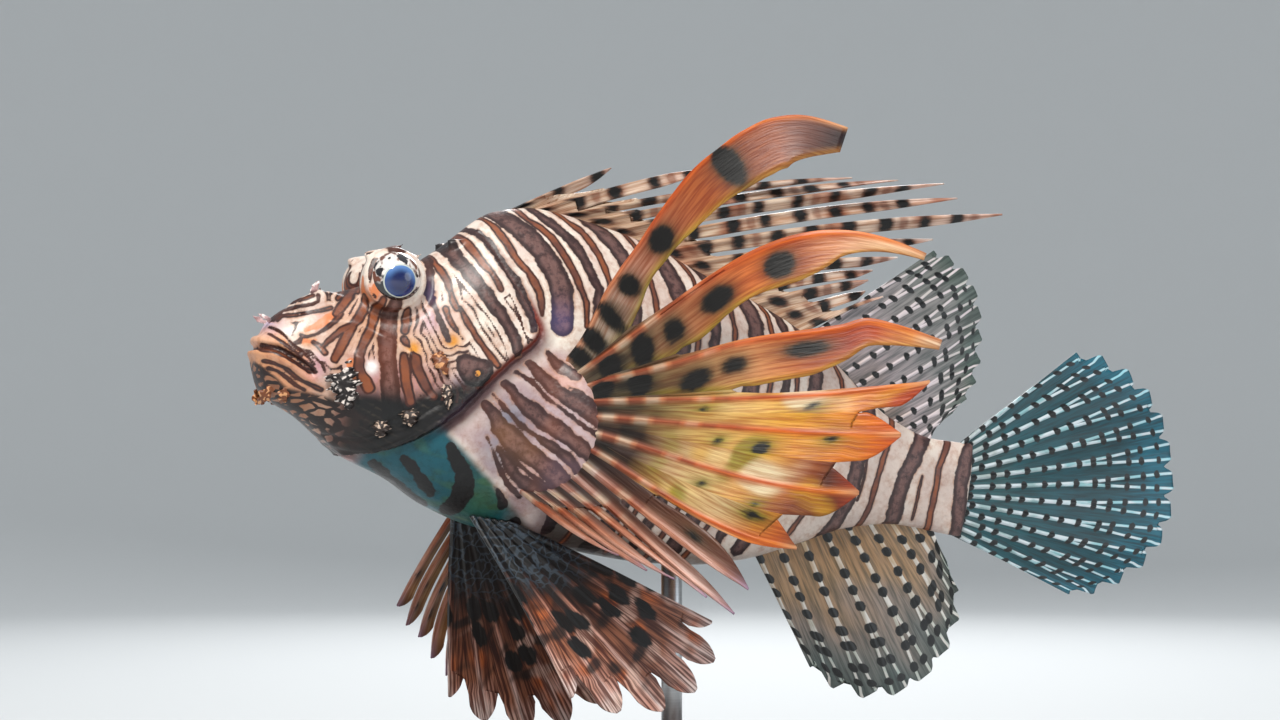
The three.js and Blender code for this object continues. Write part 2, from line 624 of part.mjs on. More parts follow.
const palms = {};
const pectorals = {};
const pelvics = {};
for (const side of [LEFT, RIGHT]) {
  palms[side] = largest(palmShape(side).subtract(grownBody));
  const room = grownBody.add(palmShape(side, GAP));
  pectorals[side] = largest(fan(pectoralRays(side), PECTORAL_STOPS).subtract(room));
  pelvics[side] = largest(fan(pelvicRays(side), PELVIC_STOPS).subtract(grownBody));
}
const spines = largest(fan(spineRays(), SPINE_STOPS).subtract(grownBody));
const softDorsal = largest(fan(fanRays(SOFT_DORSAL), FAN_STOPS).subtract(grownBody));
const anal = largest(fan(fanRays(ANAL), FAN_STOPS).subtract(grownBody));
const caudal = largest(fan(fanRays(CAUDAL), FAN_STOPS).subtract(grownBody));

// Materials
const finish = (color, roughness, metalness = 0) => (
  new THREE.MeshStandardMaterial({ color, roughness, metalness })
);
const skin = finish(0x8a5a42, 0.5);
const finOrange = finish(0xc77a45, 0.5);
const finDark = finish(0x5a3a2a, 0.5);
const finClear = finish(0xb8aa98, 0.45);
const eyeGloss = finish(0x23406e, 0.12);
const standBoard = finish(0x2b221d, 0.4);
const standSteel = finish(0xb4b4b2, 0.3, 1);

function piece(name, shape, material) {
  const mesh = new THREE.Mesh(geometryOf(shape), material);
  mesh.name = name;
  return mesh;
}

// The fish, tilted nose up
const fish = new THREE.Group();
fish.rotation.y = PITCH_DEG * DEG;
fish.position.set(SNOUT_X, 0, SNOUT_HEIGHT);
fish.add(
  piece("head", head, skin),
  piece("lower_jaw", jaw, skin),
  piece("trunk", trunk, skin),
  piece("tail_stalk", tail, skin),
  piece("eye_left", eyes[LEFT], eyeGloss),
  piece("eye_right", eyes[RIGHT], eyeGloss),
  piece("pectoral_palm_left", palms[LEFT], skin),
  piece("pectoral_palm_right", palms[RIGHT], skin),
  piece("pectoral_fin_left", pectorals[LEFT], finOrange),
  piece("pectoral_fin_right", pectorals[RIGHT], finOrange),
  piece("pelvic_fin_left", pelvics[LEFT], finDark),
  piece("pelvic_fin_right", pelvics[RIGHT], finDark),
  piece("dorsal_fin_spines", spines, finOrange),
  piece("dorsal_fin_soft", softDorsal, finClear),
  piece("anal_fin", anal, finClear),
  piece("tail_fin", caudal, finClear),
);

// The stand: a board with rounded corners, a collar and one rod up to the belly
function boardShape() {
  const { length, width, height, corner, bevel } = BASE;
  const x = length / 2 - bevel;
  const y = width / 2 - bevel;
  const outline = new THREE.Shape();
  outline.moveTo(-x + corner, -y);
  outline.lineTo(x - corner, -y);
  outline.absarc(x - corner, -y + corner, corner, -Math.PI / 2, 0);
  outline.absarc(x - corner, y - corner, corner, 0, Math.PI / 2);
  outline.absarc(-x + corner, y - corner, corner, Math.PI / 2, Math.PI);
  outline.absarc(-x + corner, -y + corner, corner, Math.PI, 1.5 * Math.PI);
  const geometry = new THREE.ExtrudeGeometry(outline, {
    depth: height - 2 * bevel, bevelThickness: bevel, bevelSize: bevel, bevelSegments: 1, curveSegments: 5,
  });
  return solid(geometry.translate(0, 0, bevel));
}

fish.updateMatrixWorld(true);
const rodAxis = V(ROD.fishX, sway(ROD.fishX), along(BELLY, ROD.fishX)).applyMatrix4(fish.matrixWorld);
const collarTop = BASE.height + GAP + COLLAR.height;
const rodFrom = collarTop + GAP;
const rodTo = rodAxis.z + ROD.inBelly;
const rodGeometry = new THREE.CylinderGeometry(ROD.radius, ROD.radius, rodTo - rodFrom, 20);
rodGeometry.rotateX(Math.PI / 2).translate(rodAxis.x, rodAxis.y, (rodFrom + rodTo) / 2);
const bellyRoom = grownBody.transform(fish.matrixWorld.elements);
const rod = largest(solid(rodGeometry).subtract(bellyRoom));
const collarGeometry = new THREE.CylinderGeometry(COLLAR.topRadius, COLLAR.radius, COLLAR.height, 24);
collarGeometry.rotateX(Math.PI / 2).translate(rodAxis.x, rodAxis.y, BASE.height + GAP + COLLAR.height / 2);

const model = new THREE.Group();
model.add(
  fish,
  piece("stand_base", boardShape(), standBoard),
  piece("stand_collar", solid(collarGeometry), standSteel),
  piece("stand_rod", rod, standSteel),
);

export default model;
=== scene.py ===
# %% [markdown]
# # A red lionfish, life size, on a plain stand
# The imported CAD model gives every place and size. This lesson dresses it: one skin over head, body and
# palms, finer fins with their rays, glossy eyes, skin flaps and a wooden stand. Loading the frame first
# means that every later piece can be measured against the CAD box.

# %% Load the frame
import math

import bpy
import numpy as np
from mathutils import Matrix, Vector


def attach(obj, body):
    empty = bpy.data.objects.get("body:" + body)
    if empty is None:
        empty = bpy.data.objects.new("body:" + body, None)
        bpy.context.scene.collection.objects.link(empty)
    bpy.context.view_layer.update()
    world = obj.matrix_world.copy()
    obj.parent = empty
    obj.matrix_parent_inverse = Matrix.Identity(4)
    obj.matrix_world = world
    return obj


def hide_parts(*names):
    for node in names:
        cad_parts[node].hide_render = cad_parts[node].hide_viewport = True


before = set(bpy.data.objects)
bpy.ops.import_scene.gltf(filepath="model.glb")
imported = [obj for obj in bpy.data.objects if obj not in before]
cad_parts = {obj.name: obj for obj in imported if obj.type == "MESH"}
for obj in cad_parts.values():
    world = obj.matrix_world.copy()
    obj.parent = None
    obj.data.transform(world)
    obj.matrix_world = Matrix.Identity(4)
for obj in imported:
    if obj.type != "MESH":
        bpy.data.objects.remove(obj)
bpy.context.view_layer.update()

# %% [markdown]
# ## The fish's own frame
# The fish hangs in the water with its nose a little up. It could be modelled at that tilt, but a fish is
# easiest to measure lying level, with its snout at zero. So all sizes below are level millimetres, the same
# as the CAD source's named sizes, and one function turns them into tilted metres.

# %% Place of the fish in the frame
PITCH = math.radians(9.15)
SNOUT_X = -130.0
SNOUT_HEIGHT = 148.0


def to_world(points):
    """Level millimetres as tilted metres."""
    x, y, z = np.asarray(points, float).T
    ahead = x * math.cos(PITCH) + z * math.sin(PITCH) + SNOUT_X
    height = -x * math.sin(PITCH) + z * math.cos(PITCH) + SNOUT_HEIGHT
    return np.stack([ahead, y, height], 1) / 1000


def to_fish(points):
    """Tilted metres as level millimetres."""
    x, y, z = (np.asarray(points, float) * 1000).T
    ahead = x - SNOUT_X
    height = z - SNOUT_HEIGHT
    level_x = ahead * math.cos(PITCH) - height * math.sin(PITCH)
    level_z = ahead * math.sin(PITCH) + height * math.cos(PITCH)
    return np.stack([level_x, y, level_z], 1)


print("snout tip at", to_world([[0, 0, 0]])[0].round(4))

# %% Outlines of the body
BODY_LENGTH = 257.0
FISH_LENGTH = 340.0
SWAY = 9.0
SWAY_FROM = 120.0
BACK = [[0, 4], [2, 12], [8, 18.5], [16, 23.5], [26, 27.5], [42, 36.5], [52, 45], [70, 62], [86, 66],
        [115, 63.5], [146, 55.5], [184, 43.5], [204, 31.5], [222, 20], [240, 15.5], [257, 16.5]]
BELLY = [[0, -2], [4, -10], [16, -15.5], [32, -25], [48, -30], [62, -36.5], [78, -40.5], [110, -43.2],
         [132, -43.8], [153, -42.3], [174, -37.6], [194, -29], [213, -20.5], [233, -16.6], [257, -17.5]]
FLANK = [[0, 6], [3, 10], [12, 13.5], [30, 17], [48, 21], [72, 25], [100, 25], [130, 22], [165, 16.5],
         [200, 10], [230, 6], [257, 2.6]]
WAIST = [[0, 1], [12, 2], [30, 0], [48, -1], [72, 1], [100, 4], [150, 3], [200, 2], [257, -0.5]]
CROWN_FULLNESS = [[0, 2.2], [40, 2], [70, 1.8], [130, 1.8], [257, 2]]
KEEL_FULLNESS = 2.1


def along(knots, x):
    """Smooth height of a line of [x, value] knots, with no overshoot between them."""
    at, value = np.array(knots, float).T
    slope = np.diff(value) / np.diff(at)
    before, after = slope[:-1], slope[1:]
    even = np.where(before * after > 0, 2 * before * after / (before + after + 1e-12), 0)
    tangent = np.concatenate([slope[:1], even, slope[-1:]])
    x = np.clip(np.asarray(x, float), at[0], at[-1])
    i = np.clip(np.searchsorted(at, x, side="right") - 1, 0, len(slope) - 1)
    span = at[i + 1] - at[i]
    t = (x - at[i]) / span
    bow = tangent[i] * span * t * (1 - t) ** 2 - tangent[i + 1] * span * t * t * (1 - t)
    return value[i] + (value[i + 1] - value[i]) * t * t * (3 - 2 * t) + bow


def sway(x):
    """The body bends a little to its right towards the tail."""
    return SWAY * (np.maximum(0, np.asarray(x, float) - SWAY_FROM) / (FISH_LENGTH - SWAY_FROM)) ** 2


def half_width(x, z):
    """Half the body's width at a place in the side view."""
    middle = along(WAIST, x)
    up = z > middle
    height = np.where(up, along(BACK, x) - middle, middle - along(BELLY, x))
    full = np.where(up, along(CROWN_FULLNESS, x), KEEL_FULLNESS)
    share = np.minimum(1, np.abs(z - middle) / height)
    return along(FLANK, x) * (1 - share ** full) ** (1 / full)


print("widest", round(float(along(FLANK, 86) * 2), 1), "mm across")

# %% [markdown]
# ## Making meshes from arrays
# Skin and fins have tens of thousands of points. They could be placed one by one, but whole arrays are far
# quicker to work out with numpy. These helpers turn arrays of points and four-cornered faces into Blender
# meshes, and store values on them for the materials.

# %% Mesh helpers
def add_mesh(name, points, faces, corner_values=None, point_values=None, caps=()):
    """A smooth-shaded object from points in metres, faces of four corners and end caps of three."""
    mesh = bpy.data.meshes.new(name)
    mesh.vertices.add(len(points))
    mesh.vertices.foreach_set("co", np.asarray(points, np.float32).ravel())
    corners = np.concatenate([np.ravel(faces), np.ravel(caps)]).astype(np.int32)
    mesh.loops.add(len(corners))
    mesh.loops.foreach_set("vertex_index", corners)
    mesh.polygons.add(len(faces) + len(caps))
    starts = np.concatenate([4 * np.arange(len(faces)), 4 * len(faces) + 3 * np.arange(len(caps))])
    mesh.polygons.foreach_set("loop_start", starts.astype(np.int32))
    mesh.update(calc_edges=True)
    mesh.shade_smooth()
    for domain, values in (("CORNER", corner_values), ("POINT", point_values)):
        for key, data in (values or {}).items():
            store(mesh, key, data, domain)
    made = bpy.data.objects.new(name, mesh)
    bpy.context.scene.collection.objects.link(made)
    return made


def store(mesh, key, data, domain="POINT"):
    """Keep a number or a colour for each point or corner, under a name that a material can read."""
    data = np.asarray(data, np.float32)
    if data.ndim == 1:
        mesh.attributes.new(key, "FLOAT", domain).data.foreach_set("value", data)
    else:
        full = np.ones((len(data), 4), np.float32)
        full[:, :3] = data
        mesh.attributes.new(key, "FLOAT_COLOR", domain).data.foreach_set("color", full.ravel())


def unit(vectors):
    """The same directions, each one long."""
    return vectors / np.maximum(1e-9, np.linalg.norm(vectors, axis=-1, keepdims=True))


def grid_faces(rows, columns):
    """Faces of a grid of rings, with each ring closed on itself."""
    row, column = np.meshgrid(np.arange(rows - 1), np.arange(columns), indexing="ij")
    a = row * columns + column
    b = row * columns + (column + 1) % columns
    return np.stack([a, b, b + columns, a + columns], -1).reshape(-1, 4)


def smooth_path(knots, steps=24):
    """A rounded line through a few knots."""
    knots = np.array(knots, float)
    padded = np.vstack([2 * knots[0] - knots[1], knots, 2 * knots[-1] - knots[-2]])
    t = np.linspace(0, len(knots) - 1, steps)
    i = np.minimum(t.astype(int), len(knots) - 2)
    f = (t - i)[:, None]
    back, here, ahead, beyond = (padded[i + k] for k in range(4))
    return 0.5 * (2 * here + (ahead - back) * f + (2 * back - 5 * here + 4 * ahead - beyond) * f ** 2
                  + (3 * here - back - 3 * ahead + beyond) * f ** 3)


def ellipsoid(centre, way, long, wide, thick, rings=20, sides=28):
    """Points and faces of a rounded lump whose long axis follows a direction."""
    ahead = unit(np.array(way, float))
    side = unit(np.cross([0, 0, 1.0], ahead)) if abs(ahead[2]) < 0.95 else np.array([0, 1.0, 0])
    up = np.cross(ahead, side)
    pole = 0.02
    tilt = np.linspace(pole, math.pi - pole, rings)[:, None]
    turn = np.linspace(0, 2 * math.pi, sides, endpoint=False)[None, :]
    x = np.cos(tilt) * long + 0 * turn
    y = np.sin(tilt) * np.cos(turn) * wide
    z = np.sin(tilt) * np.sin(turn) * thick
    points = np.array(centre) + x[..., None] * ahead + y[..., None] * side + z[..., None] * up
    return close_rings(points.reshape(-1, 3), rings, sides)


def close_rings(points, rings, sides):
    """Close both ends of a stack of rings with a middle point each."""
    ends = np.array([points[:sides].mean(0), points[-sides:].mean(0)])
    faces = grid_faces(rings, sides)
    first = np.arange(sides)
    last = first + (rings - 1) * sides
    middle = np.full(sides, len(points))
    cap_a = np.stack([middle, np.roll(first, -1), first], 1)
    cap_b = np.stack([middle + 1, last, np.roll(last, -1)], 1)
    return np.vstack([points, ends]), faces, np.vstack([cap_a, cap_b])


def tube(path, radii, sides=12):
    """Points and faces of a round closed tube along a path."""
    path = np.asarray(path, float)
    radii = np.broadcast_to(np.asarray(radii, float), len(path))
    way = unit(np.gradient(path, axis=0))
    guide = np.array([0, 0, 1.0]) if abs(way[:, 2]).mean() < 0.8 else np.array([0, 1.0, 0])
    side = unit(np.cross(way, guide))
    up = np.cross(side, way)
    turn = np.linspace(0, 2 * math.pi, sides, endpoint=False)
    ring = np.cos(turn)[None, :, None] * side[:, None] + np.sin(turn)[None, :, None] * up[:, None]
    points = path[:, None] + ring * radii[:, None, None]
    return close_rings(points.reshape(-1, 3), len(path), sides)


def volume_of(points, triangles):
    """The volume inside a closed surface, which is negative when its faces point inwards."""
    a, b, c = (points[triangles[:, k]] for k in range(3))
    return float((a * np.cross(b, c)).sum() / 6)


print("mesh helpers ready")

# %% [markdown]
# ## One skin over the flesh
# Head, jaw, body, tail stalk and the two palms are one surface on the living fish. It could be sculpted by
# hand, or made of the CAD solids, but those are parted by thin cuts that would show as seams. Here the same
# outlines are lofted again with many more points, joined with the lumps of the head, and remeshed into one
# smooth skin, because the remesh needs no care over how the lumps meet.

# %% The body as rings
RING_CROWDING = 1.25


def body_part(rings=260, sides=160):
    """The body from snout to tail root, with its rings closer together towards the snout."""
    x = BODY_LENGTH * (np.linspace(0, 1, rings)[:, None]) ** RING_CROWDING
    turn = np.linspace(0, 2 * math.pi, sides, endpoint=False)[None, :]
    x = x + 0 * turn
    rise, out = np.sin(turn) + 0 * x, np.cos(turn) + 0 * x
    middle = along(WAIST, x)
    height = np.where(rise >= 0, along(BACK, x) - middle, middle - along(BELLY, x))
    power = 2 / np.where(rise >= 0, along(CROWN_FULLNESS, x), KEEL_FULLNESS)
    y = along(FLANK, x) * np.sign(out) * np.abs(out) ** power + sway(x)
    z = middle + height * np.sign(rise) * np.abs(rise) ** power
    return close_rings(np.stack([x, y, z], -1).reshape(-1, 3), rings, sides)


body = body_part()
print("body rings give", len(body[0]), "points")

# %% Lumps of the head
LEFT = -1
RIGHT = 1
EYE = {"x": 37.5, "y": 14.2, "z": 32.2, "radius": 8.6}
MOUTH_LINE = [[-3, 3.4], [1, 4.3], [5, 3.9], [9, 2.3], [13, 0.4], [18, -3]]
PALM = {"x": 87.8, "y": 18.2, "z": -6.5, "radius": 24.0, "thick": 8.5, "out": math.radians(36)}
BROW_THORNS = [[29.5, 40, 4, 1.5], [36, 42.5, 4.5, 1.6], [43, 41, 4, 1.5]]
NAPE_THORNS = [[57, 50], [66, 56]]
GILL_THORNS = [[54, 3], [52, -4], [47, -9]]
CHEEK_THORNS = [[28, 16.5], [37, 12.3], [46, 8.1]]
UPPER_LIP = {"offset": 1.7, "radius": 1.5}
LOWER_LIP = {"offset": -2.1, "radius": 1.6}
LIP_FRONT = [-0.4, 0, 4.6]
LIP_SUNK = 0.3


def on_skin(x, z, side, out=0.0):
    """A point on the flank at a place in the side view."""
    return np.array([x, side * (float(half_width(x, z)) + out), z])


def thorn(root, way, length, radius):
    """A short pointed spine with its root sunk in."""
    way = unit(np.array(way, float))
    steps = np.array([-2.5, 0, 0.3 * length, 0.65 * length, 0.9 * length, length])
    radii = radius * np.array([1.15, 1, 0.72, 0.4, 0.16, 0.05])
    return tube(np.array(root) + steps[:, None] * way, radii, 10)


def lip(offset, radius, steps=70):
    """A lip all the way round the front of the snout, thinner at its corners."""
    left = [on_skin(x, z + offset, LEFT, -LIP_SUNK) for x, z in MOUTH_LINE[:0:-1]]
    right = [on_skin(x, z + offset, RIGHT, -LIP_SUNK) for x, z in MOUTH_LINE[1:]]
    front = [LIP_FRONT[0], LIP_FRONT[1], LIP_FRONT[2] + offset]
    path = smooth_path([*left, front, *right], steps)
    return tube(path, radius * (1 - 0.45 * np.linspace(-1, 1, steps) ** 4), 16)


def palm(side, rings=26, sides=90):
    """The fleshy palm of a pectoral fin: a thick round disc that stands out from the flank."""
    pole = 0.05
    angle = np.linspace(-math.pi / 2 + pole, math.pi / 2 - pole, rings)[:, None]
    turn = np.linspace(0, 2 * math.pi, sides, endpoint=False)[None, :]
    reach = np.cos(angle) ** 0.8 * PALM["radius"] + 0 * turn
    off = np.sin(angle) * PALM["thick"] / 2 + 0 * turn
    ahead = np.array([math.cos(PALM["out"]), side * math.sin(PALM["out"]), 0])
    face = np.array([-math.sin(PALM["out"]), side * math.cos(PALM["out"]), 0])
    centre = np.array([PALM["x"], side * PALM["y"], PALM["z"]])
    points = (centre + (reach * np.cos(turn))[..., None] * ahead + off[..., None] * face
              + (reach * np.sin(turn))[..., None] * np.array([0, 0, 1.0]))
    return close_rings(points.reshape(-1, 3), rings, sides)


def head_lumps(side):
    """Orbit, snout ridge, cheek pad and every thorn of one side of the head."""
    lumps = [
        ellipsoid([EYE["x"], side * 11.0, 31.2], [1, 0, 0.25], 10.4, 9.6, 10.4),
        ellipsoid([17, side * 6.2, 19.5], [1, 0, 0.4], 9, 3.2, 5.2),
        ellipsoid(on_skin(24, 0.5, side, -1.5), [1, 0, -0.75], 9.5, 2.6, 4.2),
        thorn([16, side * 5.4, 23.5], [0.1, side * 0.2, 1], 3.5, 1.3),
        thorn(on_skin(31, 4.4, side, -0.6), [0.95, side * 0.45, -0.35], 5.5, 2.0),
    ]
    for x, z, length, radius in BROW_THORNS:
        lumps.append(thorn([x, side * (EYE["y"] - 2), z - 1], [0.8, side * 0.2, 0.6], length, radius))
    for x, z in NAPE_THORNS:
        lumps.append(thorn([x, side * 7.5, z - 2], [0.9, side * 0.2, 0.4], 5, 1.8))
    for x, z in GILL_THORNS:
        lumps.append(thorn(on_skin(x, z, side, -1), [0.85, side * 0.5, -0.2], 4.2, 1.6))
    for x, z in CHEEK_THORNS:
        lumps.append(thorn(on_skin(x, z, side, -1), [0.8, side * 0.6, 0], 3, 1.9))
    return lumps


flesh = [body, lip(**UPPER_LIP), lip(**LOWER_LIP)]
for side in (LEFT, RIGHT):
    flesh += [palm(side), *head_lumps(side)]
print("lumps to join", len(flesh) - 1)

# %% Fuse them by remeshing
SKIN_VOXEL = 0.6


def fuse(parts, voxel):
    """One closed surface round many overlapping ones, as points in mm and four-cornered faces."""
    points, faces, start = [], [], 0
    for place, quads, caps in parts:
        points.append(place)
        faces += (quads + start).tolist() + (caps + start).tolist()
        start += len(place)
    mesh = bpy.data.meshes.new("flesh")
    mesh.from_pydata(np.vstack(points).tolist(), [], faces)
    rough = bpy.data.objects.new("flesh", mesh)
    bpy.context.scene.collection.objects.link(rough)
    remesh = rough.modifiers.new("one skin", "REMESH")
    remesh.mode = "VOXEL"
    remesh.voxel_size = voxel
    done = rough.evaluated_get(bpy.context.evaluated_depsgraph_get()).to_mesh()
    place = np.zeros(len(done.vertices) * 3)
    done.vertices.foreach_get("co", place)
    corner = np.zeros(len(done.loops), np.int64)
    done.loops.foreach_get("vertex_index", corner)
    bpy.data.objects.remove(rough)
    return place.reshape(-1, 3), corner.reshape(-1, 4)


def edges_of(faces):
    """Each edge once, as pairs of points."""
    pairs = np.vstack([faces[:, [k, (k + 1) % 4]] for k in range(4)])
    return np.unique(np.sort(pairs, 1), axis=0)


def relax(points, edges, rounds, strength=0.5):
    """Move each point towards the middle of its neighbours."""
    count = np.bincount(edges.ravel(), minlength=len(points))
    strength = np.broadcast_to(strength, len(points))[:, None]
    for _ in range(rounds):
        total = np.stack([
            np.bincount(edges[:, 0], points[edges[:, 1], k], len(points))
            + np.bincount(edges[:, 1], points[edges[:, 0], k], len(points)) for k in range(3)], 1)
        points = points + strength * (total / count[:, None] - points)
    return points


def normals_of(points, faces):
    """The outward direction at each point."""
    a, b, c, d = (points[faces[:, k]] for k in range(4))
    facing = np.cross(c - a, d - b)
    total = np.zeros_like(points)
    for k in range(4):
        for axis in range(3):
            total[:, axis] += np.bincount(faces[:, k], facing[:, axis], len(points))
    return unit(total)


skin_points, skin_faces = fuse(flesh, SKIN_VOXEL)
skin_edges = edges_of(skin_faces)
skin_points = relax(skin_points, skin_edges, 8)
print("skin has", len(skin_points), "points")

# %% [markdown]
# ## Folds, ridges and the mouth
# The gill cover overlaps the body like a flap, the cheek has bony ridges, and the throat is folded. These
# could be bumps in the material, but they would vanish at the outline. They are shallow, so the skin's own
# points are moved in or out, by their distance from a few drawn lines.

# %% Distances from drawn lines
def path_distance(x, z, path, steps=40):
    """Signed distance in the side view from a smooth line, and the share of the line passed there."""
    line = smooth_path(path, steps)
    gap = np.full(len(x), 1e9)
    sign = np.ones(len(x))
    share = np.zeros(len(x))
    for k in range(steps - 1):
        (ax, az), (bx, bz) = line[k], line[k + 1]
        dx, dz = bx - ax, bz - az
        t = np.clip(((x - ax) * dx + (z - az) * dz) / (dx * dx + dz * dz + 1e-12), 0, 1)
        distance = np.hypot(x - ax - t * dx, z - az - t * dz)
        closer = distance < gap
        gap = np.where(closer, distance, gap)
        sign = np.where(closer, np.sign(dx * (z - az) - dz * (x - ax)), sign)
        share = np.where(closer, (k + t) / (steps - 1), share)
    return gap * sign, share


def bump(distance, width):
    """One on the line, fading to nothing a few widths away."""
    return np.exp(-(distance / width) ** 2)


def fade(value, start, end):
    """From 0 at start to 1 at end, smoothly."""
    t = np.clip((value - start) / (end - start), 0, 1)
    return t * t * (3 - 2 * t)


def overlap(distance, proud, proud_width, sunk, sunk_width):
    """Skin that stands proud where the distance is below zero and is sunk on the line's other side."""
    raised_side = proud * np.exp(distance / proud_width)
    return np.where(distance < 0, raised_side, -sunk * np.exp(-distance / sunk_width))


print("distance helpers ready")

# %% Move the skin along its folds
GILL_LINE = [[60, 58], [72, 41], [83, 27], [84, 21], [76, 12], [67.5, 1], [61.5, -7.2], [52.5, -16.3],
             [41.7, -22.6], [30, -25]]
MAXILLA_LINE = [[1.6, 11], [3.5, 10.2], [5.4, 9.3], [7.1, 8], [9.3, 5.9], [12.4, 4.1], [15.2, 2.0],
                [17.5, 0]]
CHEEK_RIDGE = [[20, 15], [28, 15.5], [37, 12.5], [46, 8.5], [54, 4]]
CHEEK_EDGE = [[51, 22], [54.5, 12], [54, 3], [50, -5], [43, -12], [34, -17]]
THROAT_FOLDS = [[[56, -5], [47, -13], [36, -19.5], [24, -20]],
                [[58, -9], [49, -17], [38, -23], [26, -23]]]
NOSTRIL = [10.5, 16.5]
EYE_RING = 9.0
EYE_GROOVE = 12.6

sx, sy, sz = skin_points.T
outward = normals_of(skin_points, skin_faces)
lateral = fade(np.abs(outward[:, 1]), 0.15, 0.45)
body_y = half_width(sx, sz)
proud = np.abs(sy - sway(sx)) - body_y
palm_reach = np.hypot((sx - PALM["x"]) / math.cos(PALM["out"]), sz - PALM["z"])
on_palm = fade(proud, 0.6, 2.2) * (palm_reach < 30) * (sx > 60)
move = np.zeros(len(sx))

mouth, mouth_share = path_distance(sx, sz, MOUTH_LINE)
at_mouth = fade(mouth_share, 1.0, 0.93) * (sx < 21)
move -= 1.5 * bump(mouth, 0.75) * at_mouth
maxilla, maxilla_share = path_distance(sx, sz, MAXILLA_LINE)
move += overlap(-maxilla, 0.5, 1.5, 0.5, 1.0) * lateral * fade(sx, 19, 16)
gill, gill_share = path_distance(sx, sz, GILL_LINE)
near_gill = fade(gill_share, 0.0, 0.12) * (1 - on_palm) * fade(np.abs(sy), 2, 6)
move += near_gill * overlap(gill, 1.7, 5.0, 1.7, 3.0)
edge, edge_share = path_distance(sx, sz, CHEEK_EDGE)
move += lateral * overlap(edge, 0.5, 3.0, 0.7, 2.0) * bump(edge_share - 0.5, 0.42)
ridge, _ = path_distance(sx, sz, CHEEK_RIDGE)
move += 0.9 * bump(ridge, 1.6) * lateral
for fold in THROAT_FOLDS:
    distance, _ = path_distance(sx, sz, fold)
    move -= 0.7 * bump(distance, 0.7) * lateral
eye_gap = np.hypot(sx - EYE["x"], sz - EYE["z"])
near_eye = fade(np.abs(sy), 11, 14) * (eye_gap < 16)
move += 1.1 * bump(eye_gap - EYE_RING, 0.95) * near_eye
move -= 0.9 * bump(eye_gap - EYE_GROOVE, 1.5) * near_eye
nostril = np.hypot(sx - NOSTRIL[0], sz - NOSTRIL[1])
move -= 1.1 * bump(nostril, 1.0) * lateral
skin_points = skin_points + outward * move[:, None]
skin_points = relax(skin_points, skin_edges, 2, 0.4)
sx, sy, sz = skin_points.T
print("deepest fold", round(float(move.min()), 2), "mm")

# %% [markdown]
# ## Bars and stripes
# A red lionfish is pale cream, with wide dark bars and thin brown ones between them. On the head they fan
# out from the eye. They could be painted on an image, but its pixels would show up close. So each bar is
# drawn as a short line of [x, z, width] in the side view, the skin stores how far each point lies from the
# nearest bar, and the material turns that into a crisp, slightly wavy edge at any size.

# %% Lines of the wide dark bars
def even_bar(width, *places):
    """A bar of one width all along."""
    return [(x, z, width) for x, z in places]


